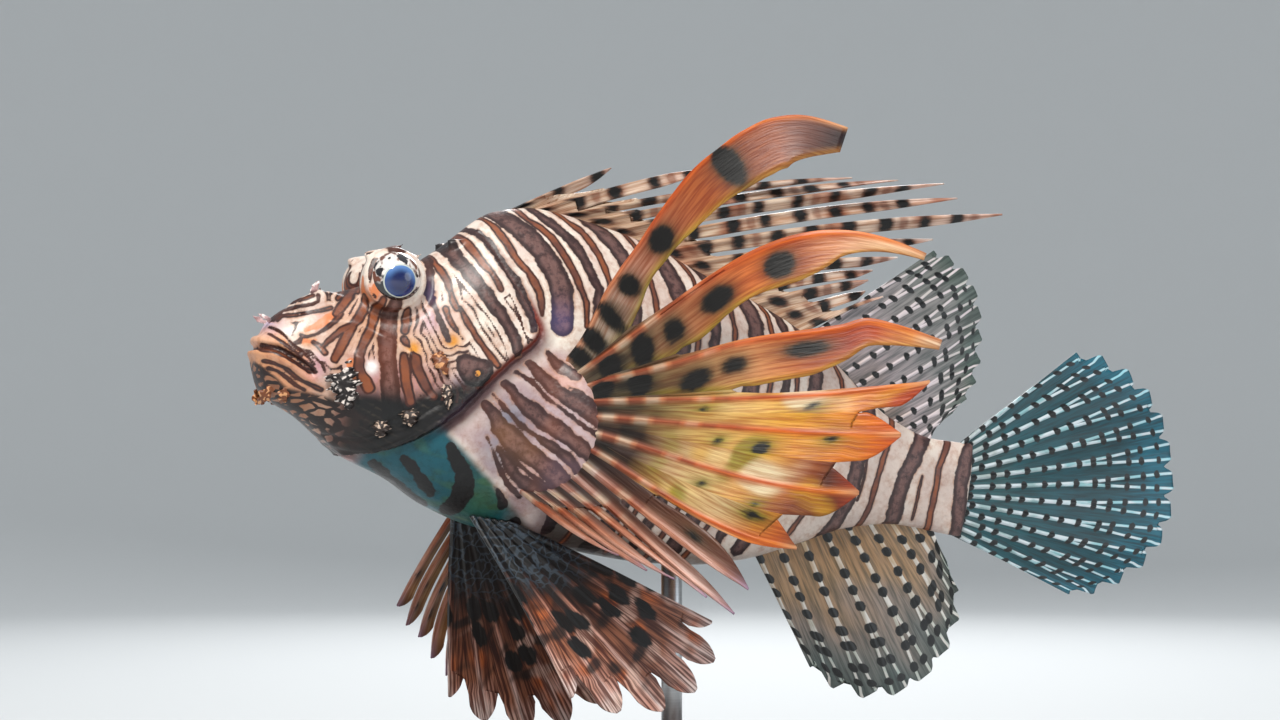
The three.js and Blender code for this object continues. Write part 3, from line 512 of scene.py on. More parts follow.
DARK_BARS = [
    [(46.5, 47.5, 2.3), (47.7, 44.5, 2.3), (49.2, 41.4, 2.1), (49.5, 37.7, 1.8), (49.6, 33.6, 2.7),
     (49.4, 29.8, 3.4), (50.4, 26.9, 1.9), (51.8, 23.9, 1.6), (53.3, 20.8, 1.6), (55.2, 17.9, 1.6),
     (56.4, 15.5, 1.3)],
    [(50.5, 53, 4), (52.9, 49.5, 4), (55, 46.1, 5.2), (57.3, 42.4, 4.9), (60.3, 39, 4.4), (63.1, 35.8, 4.4),
     (66.1, 32.6, 4.3), (69.1, 29.2, 4), (72, 26, 4), (74.6, 22.9, 4.1), (76.7, 19.4, 3.7),
     (78.1, 15.4, 3.4)],
    [(58, 56.5, 2.4), (61.1, 53.7, 1.7), (63.6, 52.5, 3.1), (65.9, 50.3, 3.2), (68.2, 47.2, 3.1),
     (70.5, 43.8, 3.1), (72.8, 41.2, 3.2), (75.3, 38.3, 3.9), (77.5, 34.7, 3.8), (79.8, 31.1, 3.8),
     (81.5, 27.5, 3.1), (82.6, 23.4, 2.4)],
    [(65, 64, 6), (70.8, 60.2, 5.9), (74, 58.1, 6.2), (77.4, 55.9, 7), (80.5, 53.3, 7.6), (83.8, 49.8, 7.8),
     (87, 46, 8.2), (89.5, 42, 8), (91.1, 37.6, 7.8), (92.2, 32.5, 7.6), (92.3, 27.2, 8.1)],
    [(79, 67, 3.4), (85.1, 61.8, 3.4), (89.3, 59.4, 3.8), (93.3, 56.3, 4.1), (96.3, 53.1, 4),
     (99.1, 49.1, 3.8), (101.6, 44.8, 3.8), (103.9, 40.8, 3.8), (104, 34, 3.6), (103.5, 28, 3.4),
     (102, 16, 3)],
    [(97, 68, 5), (102.2, 64, 4.7), (106.2, 61.4, 6.6), (109.6, 57.7, 6.2), (112.2, 54, 5.8),
     (114.2, 49.1, 5.5), (116.1, 42.6, 5.4), (117.7, 33.4, 5.2), (118, 18, 5.2), (113, 0, 5.2),
     (106, -20, 5), (99, -42, 5)],
    [(38.1, 26.6, 3), (37.9, 22.8, 3.9), (37.9, 17.2, 4.3), (37.5, 12.3, 4.6), (38.3, 7.6, 4.6),
     (39.3, 2.9, 4.6), (40.3, -1.7, 4.9), (41.4, -6.3, 4.8), (42.8, -11.7, 4.2)],
    [(62.6, -18, 3), (65.4, -21.4, 4.1), (67.8, -24.5, 5), (69.5, -27.7, 6), (70.2, -31.5, 6.5),
     (69.3, -35.5, 6.3)],
    [(69.2, -16.6, 2.4), (72.9, -18.5, 3), (75.9, -21.2, 3.7), (78.9, -24.6, 3.7), (81.4, -28.4, 3.7),
     (84.1, -32.1, 3.6)],
    [(49.7, -23.3, 1.9), (52.9, -25.6, 2.4), (55.8, -28, 2.6), (58.6, -30.4, 2.6), (61.3, -32.9, 2)],
    [(41.7, -26.1, 1.3), (48.3, -29.5, 1.5), (52.9, -32.3, 1.8), (57.2, -34.5, 1.9), (61.5, -36.4, 1.9)],
    even_bar(6.7, (122, 64), (129.5, 53), (132.5, 48), (134, 43.5), (135, 33.5), (135, 23.5), (132, 6),
     (126, -14), (118, -42)),
    even_bar(4.3, (140, 60), (146, 52), (147, 46.5), (148, 34), (147.5, 22.5), (145, 5), (139, -14),
     (131, -42)),
    even_bar(6.7, (152, 57), (160, 49.5), (164, 40.5), (164.5, 29), (162.5, 16), (159, 2), (153, -16),
     (144, -42)),
    even_bar(3.6, (168, 52), (174, 46), (177, 38), (177.5, 31.5), (177, 22.5), (174, 5), (167, -14),
     (159, -38)),
    even_bar(5.5, (180, 48), (187.5, 37), (189, 28), (188, 22.5), (186.5, 9), (182.5, -5.5), (177, -16.5),
     (170, -34)),
    even_bar(5.3, (202, 36), (212.5, 26.5), (212, 22), (211, 13), (209, 2), (208.5, -8.5), (205.5, -20.5),
     (198, -33)),
    even_bar(5.8, (238, 20), (235, 14.5), (231.5, 5.5), (229, 0), (227.5, -8), (228, -15.5), (228.5, -21)),
    even_bar(5.8, (258, 20), (256.5, 16), (253.5, 9), (252.5, 1), (253.5, -6.5), (255, -18)),
    [(96, -26, 3.6), (91, -36, 3.8), (88, -48, 3.8)],
]
print("wide bars on each side", len(DARK_BARS))

# %% Lines of the thin brown stripes
BROWN_BARS = [
    [(50.2, 42.6, 1.4), (51.1, 40.1, 1.8), (52.9, 37.5, 2.4), (54.4, 34.7, 2.3), (55.3, 32.1, 1.9)],
    [(55.7, 31.2, 1.6), (56.4, 28.6, 1.9), (57.9, 25.9, 1.9)],
    [(54.5, 25.3, 1.6), (55.7, 22.5, 1.6), (57.1, 20.2, 1.6), (58.9, 17.9, 1.3), (60.3, 16.5, 1)],
    [(58.8, 26.4, 1.3), (60.6, 23.4, 2), (62.4, 20.8, 2), (64.6, 17.9, 1.9), (67.1, 15.1, 1.9),
     (69.7, 12.3, 2.3), (72.2, 9.8, 2)],
    [(56, 53.5, 2.2), (58.7, 50.2, 2.4), (60.5, 48.1, 2.9), (62.6, 45.3, 2.8), (65, 41.8, 2.4),
     (67.5, 39.6, 2), (69.5, 36.9, 2), (70.9, 34.5, 1.7)],
    [(62, 61.5, 1.8), (66.2, 57.8, 1.4), (68.5, 55.7, 2.2), (70.7, 52.8, 2.6), (72.9, 49.8, 2.6),
     (74.9, 46.7, 2.5), (77.3, 44.1, 2.5), (79.7, 42.2, 2.5), (81.9, 39.2, 3.2), (83.8, 36.2, 3.1),
     (84.7, 32.7, 2.7), (85.4, 28.9, 1.7)],
    [(74, 66, 2), (79.4, 60.3, 2.1), (83.7, 58.2, 2.8), (87.3, 55.4, 3.2), (90.3, 51.8, 3.1),
     (93.1, 47.9, 3), (95.7, 43.9, 3), (97.9, 39.6, 2.5), (99.9, 35.6, 2.2), (100.5, 28, 2)],
    [(88, 67, 2.4), (94, 62.3, 2.4), (98.2, 59.9, 3.1), (101.1, 56.6, 3), (103.8, 52.5, 2.8),
     (105.9, 48.4, 2.7), (107.7, 44, 2.3), (108.9, 34.4, 2.2), (110, 20, 2), (106, 4, 1.8)],
    [(43.1, 22.7, 1.2), (43, 19.7, 1.8), (42.7, 16.1, 1.5)],
    [(42.9, 13.2, 1.6), (45, 11, 2.9), (46.6, 8.3, 2.8), (47.6, 5.3, 2.2), (49.3, 2.4, 2.2),
     (51.6, -0.8, 2.2), (53.9, -2.9, 1.9)],
    [(43.2, 8.4, 1.2), (43.9, 5, 2.2), (44.8, 1.3, 2.1), (46, -2.3, 2.1), (47.5, -5.9, 1.8)],
    [(34.2, 24.6, 1.2), (33.4, 20.4, 1.8), (32.5, 16.6, 1.8), (31.6, 12.9, 1.8), (30.4, 9.1, 1.8),
     (29.6, 5.8, 1.8), (30.4, 2.7, 2.5), (32.1, -0.5, 2.8), (34.2, -3.7, 2.7)],
    [(30.7, 24.7, 1.1), (29.5, 20.4, 1.8), (28.1, 17.2, 1.8), (26.2, 14.9, 1.2), (23.5, 13.1, 1.1),
     (21.3, 10.8, 1.1), (19.4, 8.5, 1.2), (17.8, 6.3, 1.2)],
    [(26.8, 14.6, 1.2), (25.5, 11.8, 2.1), (24.3, 8.7, 2.1), (23.2, 5.6, 2.1), (22.2, 3.5, 1.8)],
    [(15.2, 7.8, 1.3), (17.1, 6.8, 1.9), (18.9, 4.9, 1.6)],
    [(27.5, 34, 1), (27, 31, 1), (25.8, 28.5, 0.8), (24.1, 26.2, 0.7), (21.8, 23.2, 0.7)],
    [(30.4, 36.5, 1.3), (29.3, 33.4, 1.6), (28.4, 30.3, 1.6), (26.9, 26.9, 1.5), (24.8, 23.7, 1.7),
     (23.1, 20.7, 2), (21.4, 18, 1.5)],
    [(22.9, 18.3, 0.9), (20.9, 15.3, 0.8), (18.9, 12.9, 0.8), (16.1, 10.5, 0.9), (13.2, 9, 1),
     (11.3, 9.4, 0.8)],
    [(6.1, 16.7, 0.6), (8.4, 17.8, 0.9), (11.1, 18.9, 0.9), (13.9, 19.8, 0.8), (15.7, 21.1, 0.8),
     (15.6, 23, 1)],
    [(10.2, 20.7, 0.9), (11.9, 21.7, 1.3), (14, 22.7, 1)],
    [(4.4, 13, 0.5), (5.6, 14.9, 0.9), (8.1, 15.3, 1), (10.9, 16.2, 1), (14.1, 17.4, 1), (17.4, 18.6, 0.8),
     (19.8, 19.7, 0.7)],
    [(3.3, 12.9, 0.6), (4.4, 15.1, 0.8), (6.1, 16.7, 0.6)],
    [(11.9, 9.1, 0.9), (11, 7.1, 1.2), (9.9, 6.6, 0.9)],
    [(0.3, 2.9, 1), (2.2, 3.1, 1.3), (4.8, 2.9, 1.6), (7.5, 2, 1.5), (9.5, 1.1, 1.1), (12.7, -0.3, 0.9),
     (15.3, -1.4, 0.8), (17.5, -1.4, 0.6)],
    [(1.1, 4.6, 0.7), (3.1, 4.5, 0.6), (6.1, 4, 0.6), (9.2, 2.9, 0.7), (12.3, 1.8, 0.7), (15, 0.7, 0.6),
     (17, -0.5, 0.6)],
    [(2.3, 8.3, 0.6), (4.2, 7.3, 0.6), (6.7, 5.7, 0.8), (9.3, 4.2, 0.6), (12.2, 2.8, 0.6)],
    [(1.7, -0.4, 0.8), (3.8, -0.5, 0.9), (6.9, -1.2, 0.9), (9.5, -2.4, 0.9), (11.9, -3.9, 0.7),
     (14.6, -5, 0.7), (17.5, -5.8, 0.7), (20.1, -6.6, 0.7)],
    even_bar(0.7, (3.6, -2.4), (6.7, -3.1), (9.4, -4.6), (12.2, -6.3), (15.4, -7.4)),
    even_bar(2.3, (113, 66), (119.5, 56), (122, 50), (124.5, 42), (126, 33.5), (126, 20), (121, 2),
     (114, -20), (108, -42)),
    even_bar(2.3, (132, 62), (139.5, 52.5), (141, 45.5), (141.5, 36.5), (141, 22), (138, 4), (132, -16),
     (124, -42)),
    even_bar(2.3, (147, 58), (152, 50), (155.5, 37.5), (155.5, 27), (153, 8), (147, -12), (138, -42)),
    even_bar(2.2, (162, 54), (169, 46), (171.5, 33.5), (170, 18), (166, 0), (160, -18), (151, -40)),
    even_bar(2.3, (191, 43), (200, 29), (201, 15), (198, 0.5), (193.5, -14), (186, -30)),
    even_bar(2.1, (181, 30), (181, 14), (177, -4), (171, -20)),
    even_bar(2.6, (223, 20), (221, 11), (219, 4.5), (217.5, -5), (217, -13.5), (215, -22)),
    even_bar(1.4, (212.5, 6), (212.5, -3), (211.5, -11)),
    even_bar(2.9, (247, 18), (245.5, 13), (242.5, 5), (242.5, -2), (242, -11), (243, -18)),
    even_bar(1.4, (236, 1), (235.5, -3), (235.5, -14)),
]
TAN_BARS = [
    [(22.2, 19.5, 1.8), (20.2, 16.8, 2.4), (17.8, 14.7, 2.5), (15.2, 12.6, 2.8), (12.6, 11.2, 2.2)],
    [(12.4, 7.9, 2.2), (14.2, 7.9, 1.9), (16, 8.5, 1.3)],
    [(32.5, 30.3, 1.4), (31.1, 27.2, 2.3), (31.3, 24.4, 2.2)],
    [(27.5, 3.5, 2.5), (28.8, 1.1, 2.5), (30.1, -1.2, 2.1)],
]


FAR = 9.0


def nearest_bar(x, z, bars):
    """How far outside the nearest bar each point lies, in mm: negative inside one, and FAR at most."""
    out = np.full(len(x), FAR)
    for bar in bars:
        for (x0, z0, wide0), (x1, z1, wide1) in zip(bar, bar[1:]):
            near = np.flatnonzero((np.abs(x - (x0 + x1) / 2) < abs(x1 - x0) / 2 + FAR)
                                  & (np.abs(z - (z0 + z1) / 2) < abs(z1 - z0) / 2 + FAR))
            dx, dz = x1 - x0, z1 - z0
            t = np.clip(((x[near] - x0) * dx + (z[near] - z0) * dz) / (dx * dx + dz * dz), 0, 1)
            gap = np.hypot(x[near] - x0 - t * dx, z[near] - z0 - t * dz) - (wide0 + (wide1 - wide0) * t) / 2
            out[near] = np.minimum(out[near], gap)
    return out


# On the front of each brow a bar of the side view would spread into one patch. There the bars follow the
# brow's width as well.
BROW_FRONT = {"x": 29, "y": 9, "z": 34, "radius": 10}
from_brow = np.hypot(sx - BROW_FRONT["x"], sz - BROW_FRONT["z"])
facing_ahead = fade(-normals_of(skin_points, skin_faces)[:, 0], 0.4, 0.85)
facing_ahead = facing_ahead * bump(from_brow, BROW_FRONT["radius"])
bar_x = sx + 1.1 * (np.abs(sy) - BROW_FRONT["y"]) * facing_ahead
dark = nearest_bar(bar_x, sz, DARK_BARS)
brown = nearest_bar(bar_x, sz, BROWN_BARS)
tan = nearest_bar(bar_x, sz, TAN_BARS)
open_mm = np.minimum(np.minimum(dark, brown), tan)
print("thin stripes on each side", len(BROWN_BARS) + len(TAN_BARS))

# %% Helpers for colours
def colour(red, green, blue):
    """A screen colour from 0 to 255 as the plain light values that a material wants."""
    share = np.array([red, green, blue]) / 255
    return np.where(share <= 0.04045, share / 12.92, ((share + 0.055) / 1.055) ** 2.4)


def waves(points, size, seed, count=14):
    """Soft blotches between -1 and 1, about this many millimetres across."""
    rng = np.random.default_rng(seed)
    ways = unit(rng.normal(size=(count, 3))) * (2 * math.pi / (size * rng.uniform(0.7, 1.6, (count, 1))))
    phase = rng.uniform(0, 2 * math.pi, count)
    total = np.zeros(len(points))
    for way, start in zip(ways, phase):
        total += np.sin(points @ way + start)
    return total / math.sqrt(count) / 1.4


def blend(first, second, share):
    """Mix in a colour, or a screen colour of three numbers, by a share for each point."""
    if isinstance(second, tuple):
        second = colour(*second)
    return first + (second - first) * np.clip(share, 0, 1)[:, None]


def spots_on(*places):
    """Soft round patches on both flanks, added up, from [x, z, radius, strength] places."""
    return sum(strength * bump(np.hypot(sx - x, sz - z), radius) for x, z, radius, strength in places)


def with_patches(under, patches):
    """Lay named patches over a colour, each with its own colour and places."""
    for tint, *places in patches.values():
        under = blend(under, tint, spots_on(*places))
    return under


print("cream as light values", colour(242, 231, 218).round(3))

# %% Ground colours of body and face
JAW_TOP = [[0, 11.2], [5, 9.4], [9, 6.2], [15, 2.2], [18, -0.5], [24, -5]]
SNOUT_PATCHES = {
    "lilac lip": ((206, 182, 214), (2.5, 12, 3.5, 0.8)),
    "pink jaw corner": ((222, 170, 182), (18.5, 0.5, 4.5, 1)),
    "tan jaw bone": ((232, 166, 104), (13.5, 8.2, 2.4, 1)),
    "rosy snout": ((212, 150, 134), (18.5, 15.5, 4.5, 0.85)),
    "tan cheek": ((222, 174, 150), (31, 15, 6, 0.8), (24, 10, 6, 0.5)),
    "orange under the eye": ((232, 122, 58), (31.3, 26.5, 2.4, 1)),
}
GILL_PATCHES = {
    "pale rose": ((210, 176, 186), (50.5, 21, 4.5, 0.9)),
    "lavender": ((186, 172, 206), (62.5, 1.5, 3.5, 0.8)),
}
centred = np.stack([sx, sy - sway(sx), sz], 1)
ground = np.tile(colour(242, 231, 218), (len(sx), 1))
ground = blend(ground, (222, 199, 188), 0.4 + 0.5 * waves(centred, 14, 1))
ground = blend(ground, (188, 168, 160), fade(sx, 95, 200) * (0.4 + 0.4 * waves(centred, 22, 2)))
jaw_top = along(JAW_TOP, sx)
jaw = fade(sz, jaw_top + 0.5, jaw_top - 0.5) * fade(sx, 21, 16)
ground = blend(ground, (226, 158, 112), jaw * 0.95)
ground = blend(ground, (236, 184, 148), jaw * fade(sx, 7, 1) * fade(sz, 2, 7))
ground = with_patches(ground, SNOUT_PATCHES)
face = fade(sx, 66, 54) * fade(sz, 30, 18) * fade(sx, 16, 24)
ground = blend(ground, (212, 168, 138), 0.7 * face)
blotched = fade(waves(centred, 8, 9), -0.1, 0.8) * fade(sx, 64, 50) * fade(sz, 34, 24)
ground = blend(ground, (206, 160, 138), 0.5 * blotched)
low_cheek = fade(sz, 12, 0) * fade(sx, 22, 30) * fade(sx, 64, 52)
ground = blend(ground, (190, 138, 138), 0.9 * low_cheek)
ground = with_patches(ground, GILL_PATCHES)
print("the jaw covers", round(float((jaw > 0.5).mean() * 100), 1), "% of the points")

# %% Painted shade of the underside, tinted teal on the throat
BLACK_TOP = [[18, -14], [26, -8], [35, -4.5], [44, -4.5], [53, -1.5], [59, 2], [65, 5], [72, 8], [76, 10]]
REAR_LOW = [[84, -24], [110, -31], [150, -36.5], [190, -36], [257, -40]]
FOLD_SPACING = 2.6
# Painted shade: the underside of head and body faces down and is painted near black, a little paler towards the
# tail.
black_top = along(BLACK_TOP, sx)
margin = 3.6 * fade(sz, 10, 0) * fade(sz, -24, -18)
before_gill = 1 - fade(gill - margin, -0.6, 0.8) * (sx < 84)
shade = fade(sz, black_top + 4, black_top - 3) * before_gill * fade(sx, 76, 73) * fade(sx, 20, 32)
rear_low = along(REAR_LOW, sx)
shade = np.maximum(shade, fade(sz, rear_low + 5, rear_low - 6) * fade(sx, 80, 90) * 0.9)
# Painted shade lit by blue-green water: the breast behind the gill line is painted teal, with greener patches.
teal_lit_shade = fade(sx, 33, 40) * fade(sx, 92, 84) * fade(gill, 0.2, 1.2) * fade(sz + 0.75 * (sx - 60), -11, -15)
teal_lit_shade = teal_lit_shade * (1 - on_palm)
ground = blend(ground, (12, 9, 11), shade * (1 - 0.45 * fade(sx, 110, 190)))
throat_line = np.abs(((sz + 0.35 * sx) / FOLD_SPACING) % 1 - 0.5)
fold_light = shade * fade(throat_line, 0.12, 0.03) * (0.3 + 0.4 * waves(centred, 7, 8)) * (sx < 74)
ground = blend(ground, (70, 62, 52), fold_light)
ground = blend(ground, (2, 84, 98), teal_lit_shade)
green = 0.9 * spots_on((77, -32, 8, 1)) + 0.5 * fade(waves(centred, 6, 6), 0.1, 1)
ground = blend(ground, (54, 98, 70), teal_lit_shade * green)
print("dark underside covers", round(float((shade > 0.5).mean() * 100)), "% of the points")

# %% Ink of the bars
INK_PATCHES = {
    "chestnut under the eye": ((96, 44, 24), (37.5, 8, 7, 1)),
    "violet shoulder": ((66, 56, 92), (91.5, 28, 6, 1), (49.5, 30, 4, 0.8)),
}
ink = np.tile(colour(54, 33, 33), (len(sx), 1))
ink = blend(ink, (74, 34, 20), fade(sx, 58, 44) * 0.9)
ink = with_patches(ink, INK_PATCHES)
# Painted shade: bars inside the painted shade and the teal-lit shade are darkened to near black too.
ink = blend(ink, (10, 9, 11), np.maximum(shade, teal_lit_shade))
print("the bars are dark", ink.mean(0).round(3))

# %% Marks and fine lines of the head
LINE_SPACING = 2.1
LINE_HALF = 0.42
OPEN_FROM = 1.05
GILL_SPOTS = [(62.5, 8.5, 3.4, 1), (67.5, 8, 3.6, 1), (65, 5, 3, 1)]
GOLD_SPOTS = [(45.8, 11, 2.3, 1), (57.5, 15.4, 2.3, 1), (37.5, 10.8, 1.8, 0.8), (66.3, 6.3, 1.6, 1)]
patch = spots_on(*GILL_SPOTS)
dark = np.minimum(dark, 1.4 - 3.2 * np.clip(patch, 0, 1))
gold = spots_on(*GOLD_SPOTS)
brown = brown + 2.4 * np.clip(gold, 0, 1)
dark = dark + 3 * spots_on((66.3, 6.3, 1.4, 1))
ground = blend(ground, (222, 148, 44), gold * 1.2)
face_dark = 0.55 * fade(sx, 60, 46) * fade(sx, 17, 24) * fade(sz, 34, 22)
on_head = fade(sx, 84, 74)
brown = brown - face_dark - 0.25 * on_head
dark = dark - 0.5 * face_dark - 0.2 * on_head - 0.25 * fade(sx, 170, 190)
wavy_mm = open_mm + 0.3 * waves(centred, 7, 17)
between = np.abs((wavy_mm - OPEN_FROM) % LINE_SPACING - LINE_SPACING / 2) - LINE_HALF
lined = fade(open_mm, 1.3, 1.6) * fade(gill, 0.5, -0.5) * fade(sx, 5, 9) * fade(sz, 50, 44)
lined = lined * fade(eye_gap, 9.5, 11) * fade(sz, jaw_top, jaw_top + 1)
brown = np.minimum(brown, between + 4 * (1 - lined))
crown = spots_on((53.5, 48, 3.2, 1)) * 1.2
dark = np.minimum(dark, 1.2 - 2.6 * crown)
ink = blend(ink, (26, 19, 20), crown + spots_on((47, 44, 3, 1)))
dark = np.minimum(dark, 1.2 - 3 * spots_on((36.5, 42.5, 3.6, 1)))
ground = blend(ground, (255, 250, 246), spots_on((33.8, 2.8, 1.9, 1)) * 1.4)
brown = brown + 3 * spots_on((33.8, 2.8, 1.7, 1))
print("fine lines cover", round(float((lined > 0.5).mean() * 100), 1), "% of the points")

# %% Lines of the jaw bone and the gill cover, and the gill cover's painted shadow
maxilla, maxilla_share = path_distance(sx, sz, MAXILLA_LINE)
on_maxilla = fade(maxilla_share, 0.0, 0.05) * fade(maxilla_share, 1, 0.95)
brown = np.minimum(brown, np.abs(maxilla) - 0.55 + 4 * (1 - on_maxilla))
gill_red = bump(gill - 0.8, 2.0) * near_gill * fade(sz, 0, 8)
ground = blend(ground, (128, 52, 40), 1.2 * gill_red)
# Painted shadow: a dark band just behind the gill cover's edge, and a wider shadow that the cover casts on the
# flank behind it.
gill_edge_shadow = bump(gill - 0.4, 1.5) * near_gill * fade(sz, 5, -4) * fade(sz, -14, -8)
ground = blend(ground, (52, 36, 52), gill_edge_shadow)
gill_cover_shadow = fade(gill, 0.4, 1.4) * fade(gill, 7.5, 2.0) * near_gill * fade(sz, 27, 18) * fade(sz, -16, -9)
ground = blend(ground, (96, 68, 70), 0.85 * gill_cover_shadow)
print("the gill's shadow covers", round(float((gill_cover_shadow > 0.5).mean() * 100), 1), "% of the points")

# %% Stripes of the palms
PALM_BARS = [
    [(78.6, 15.2, 1.6), (83.6, 12, 2.6), (86.6, 9.9, 3.3), (90.6, 6.6, 4), (94.1, 4.5, 4.5),
     (97.4, 2.7, 5), (100.9, 1, 5), (104.6, -1, 4.5), (109, -3.5, 4.1)],
    [(73.4, 6.3, 1.6), (78.1, 3.1, 2.6), (81.2, 0.7, 3.7), (84.5, -1.4, 4.5), (88.1, -3.5, 5),
     (91.6, -5.5, 5), (95.2, -7.6, 4.9), (98.7, -9.6, 4.5), (102.2, -11.6, 4), (104.6, -13.5, 3.7),
     (108.5, -16, 3.4)],
    [(68.4, -1.2, 1.6), (72.5, -4.2, 2.8), (74.8, -6.8, 3.8), (77, -9.1, 5.7), (80, -11.2, 6.6),
     (83.1, -13.3, 6.6), (86.4, -15.4, 5.7), (89.9, -17.4, 5.7), (93.5, -19.4, 6.1), (96.5, -21.8, 6),
     (99.6, -24.5, 5.2), (102.6, -26.9, 4.4), (106, -30, 3.7)],
    [(89.6, -10.4, 1.2), (93.1, -12.1, 2.9), (96, -13.8, 2.8), (98.4, -15.4, 2.8), (100.8, -17.6, 2.3),
     (102.8, -20.1, 2)],
    [(77.6, -16, 1.4), (81.1, -19.1, 2.4), (83.7, -21.9, 3), (86.7, -24, 3.3), (89.7, -26.1, 3.3),
     (93, -27.8, 3.3), (96.2, -29.8, 3.3), (99.1, -31.6, 2.8), (103, -34, 2.4)],
    [(88.6, 17.3, 2), (91.2, 14.4, 3.3), (94.1, 12.9, 3.8), (97.6, 11.5, 3.8)],
]
PALM_LINES = [
    [(77, 9.6, 1.2), (80.5, 8.6, 1.5), (85, 6.4, 1.5), (90, 2.9, 1.7), (96, -1, 1.6), (102, -5, 1.4),
     (108, -8, 1.2)],
    [(70.6, 2.4, 1.1), (77, -2.9, 1.5), (82, -6.8, 1.8), (88, -9.6, 1.4), (92, -11.4, 1)],
    [(79.5, -15.5, 0.9), (85, -19.4, 1.7), (91, -23.2, 1.8), (97, -27, 1.6), (102, -30.5, 1.2)],
    [(90, -14.8, 0.8), (95, -18, 1.4), (100, -22, 1.4), (105, -26, 1.2)],
    [(96, 7.2, 1), (101, 4.6, 1.5), (107, 1.6, 1.4)],
    [(73, -13, 0.9), (76, -17, 1.6), (79, -21.4, 1.8), (83, -26, 1.5), (88, -29.5, 1.2)],
]
palm_area = np.maximum(on_palm, fade(gill, 2.4, 4.0) * fade(sz, 21, 16) * fade(sx, 104, 92)
                       * fade(sz + 0.75 * (sx - 60), -14, -10))
palm_dark = np.minimum(nearest_bar(sx, sz, PALM_BARS) - 0.35, nearest_bar(sx, sz, PALM_LINES))
dark = dark * (1 - palm_area) + palm_dark * palm_area
brown = brown * (1 - palm_area) + 4 * palm_area
tan = tan * (1 - palm_area) + 4 * palm_area
print("palm skin covers", round(float((on_palm > 0.5).mean() * 100)), "% of the points")

# %% Colours of the palms
PALM_PATCHES = {
    "blue-grey": ((122, 124, 142), (80, -6, 7, 0.9), (78, -17, 6, 0.6)),
    "mauve": ((168, 146, 160), (92, 0, 8, 0.6), (97, -12, 8, 0.5)),
    "salmon": ((212, 158, 142), (94, 8.5, 6, 0.8)),
}
PALM_INK_PATCHES = {
    "olive brown": ((120, 78, 48), (78, -11, 5, 0.8), (86.5, -14.7, 5, 0.6)),
}
NET_TOP = [[0, 0], [6, -4], [11, -7], [20, -7.5], [36, -12]]
palm_ground = np.tile(colour(196, 170, 170), (len(sx), 1))
palm_ground = blend(palm_ground, (234, 216, 208), 0.25 + 0.6 * waves(centred, 9, 3))
palm_ground = with_patches(palm_ground, PALM_PATCHES)
# Painted shadow of the gill cover on the ground between the gill line and the palm.
palm_ground = blend(palm_ground, (88, 66, 66), 0.8 * fade(gill, 7, 2.6) * (1 - on_palm))
palm_ink = np.tile(colour(62, 38, 38), (len(sx), 1))
palm_ink = blend(palm_ink, (96, 54, 42), 0.1 + 0.8 * waves(centred, 10, 4) + spots_on((86, 9, 7, 1)))
palm_ink = with_patches(palm_ink, PALM_INK_PATCHES)
palm_ink = blend(palm_ink, (84, 60, 68), fade(sx, 90, 96) * fade(sz, -14, -18))
ground = blend(ground, palm_ground, palm_area * (1 - teal_lit_shade) * (1 - 0.7 * gill_cover_shadow))
ink = blend(ink, palm_ink, palm_area)
net_top = along(NET_TOP, sx)
net = fade(sz, net_top, net_top - 1.5) * fade(sx, 40, 30)
ground = blend(ground, (164, 112, 82), net * fade(sx, 34, 14))
scaly = fade(sx, 60, 84) * (1 - on_palm)
print("the jaw's net covers", round(float((net > 0.5).mean() * 100), 1), "% of the points")

# %% The skin as an object
skin = add_mesh("skin", to_world(skin_points), skin_faces, point_values={
    "dark": dark, "brown": brown, "tan": tan, "ground": ground, "ink": ink, "net": net, "scaly": scaly,
    "core": 1 - np.maximum(np.maximum(shade, teal_lit_shade), np.clip(crown, 0, 1)),
})
print("skin object has", len(skin.data.polygons), "faces")

# %% [markdown]
# ## Talking to the shader
# Materials here are small networks of nodes. They could be wired by hand in the editor, but a few short
# functions that make a node and wire it let each material be read from top to bottom like a recipe.

# %% Node helpers
def wire(tree, value, socket):
    """Feed a socket from another socket, a number or a colour."""
    if isinstance(value, bpy.types.NodeSocket):
        tree.links.new(value, socket)
    elif np.ndim(value) == 0:
        socket.default_value = float(value)
    else:
        socket.default_value = (*value, 1) if len(socket.default_value) == 4 else tuple(value)


def read(tree, name, what="Fac"):
    """A value that the mesh stores under this name."""
    made = tree.nodes.new("ShaderNodeAttribute")
    made.attribute_name = name
    return made.outputs[what]


def paint(tree, name):
    """A colour that the mesh stores under this name."""
    return read(tree, name, "Color")


def calc(tree, operation, first, second=0.0, third=0.0):
    """One sum on up to three values."""
    made = tree.nodes.new("ShaderNodeMath")
    made.operation = operation
    wire(tree, first, made.inputs[0])
    wire(tree, second, made.inputs[1])
    wire(tree, third, made.inputs[2])
    return made.outputs[0]


def ease(tree, value, start, end, low=0.0, high=1.0):
    """From low at start to high at end, smoothly."""
    made = tree.nodes.new("ShaderNodeMapRange")
    made.interpolation_type = "SMOOTHSTEP"
    wire(tree, value, made.inputs["Value"])
    for name, number in (("From Min", start), ("From Max", end), ("To Min", low), ("To Max", high)):
        made.inputs[name].default_value = number
    return made.outputs[0]


def mix(tree, share, first, second, kind="MIX"):
    """Two colours mixed by a share."""
    made = tree.nodes.new("ShaderNodeMix")
    made.data_type = "RGBA"
    made.blend_type = kind
    wire(tree, share, made.inputs["Factor"])
    wire(tree, first, made.inputs[6])
    wire(tree, second, made.inputs[7])
    return made.outputs[2]


def stained(tree, under, tint, kind="MULTIPLY"):
    """A colour darkened, or with SCREEN lightened, by another."""
    return mix(tree, 1.0, under, tint, kind)


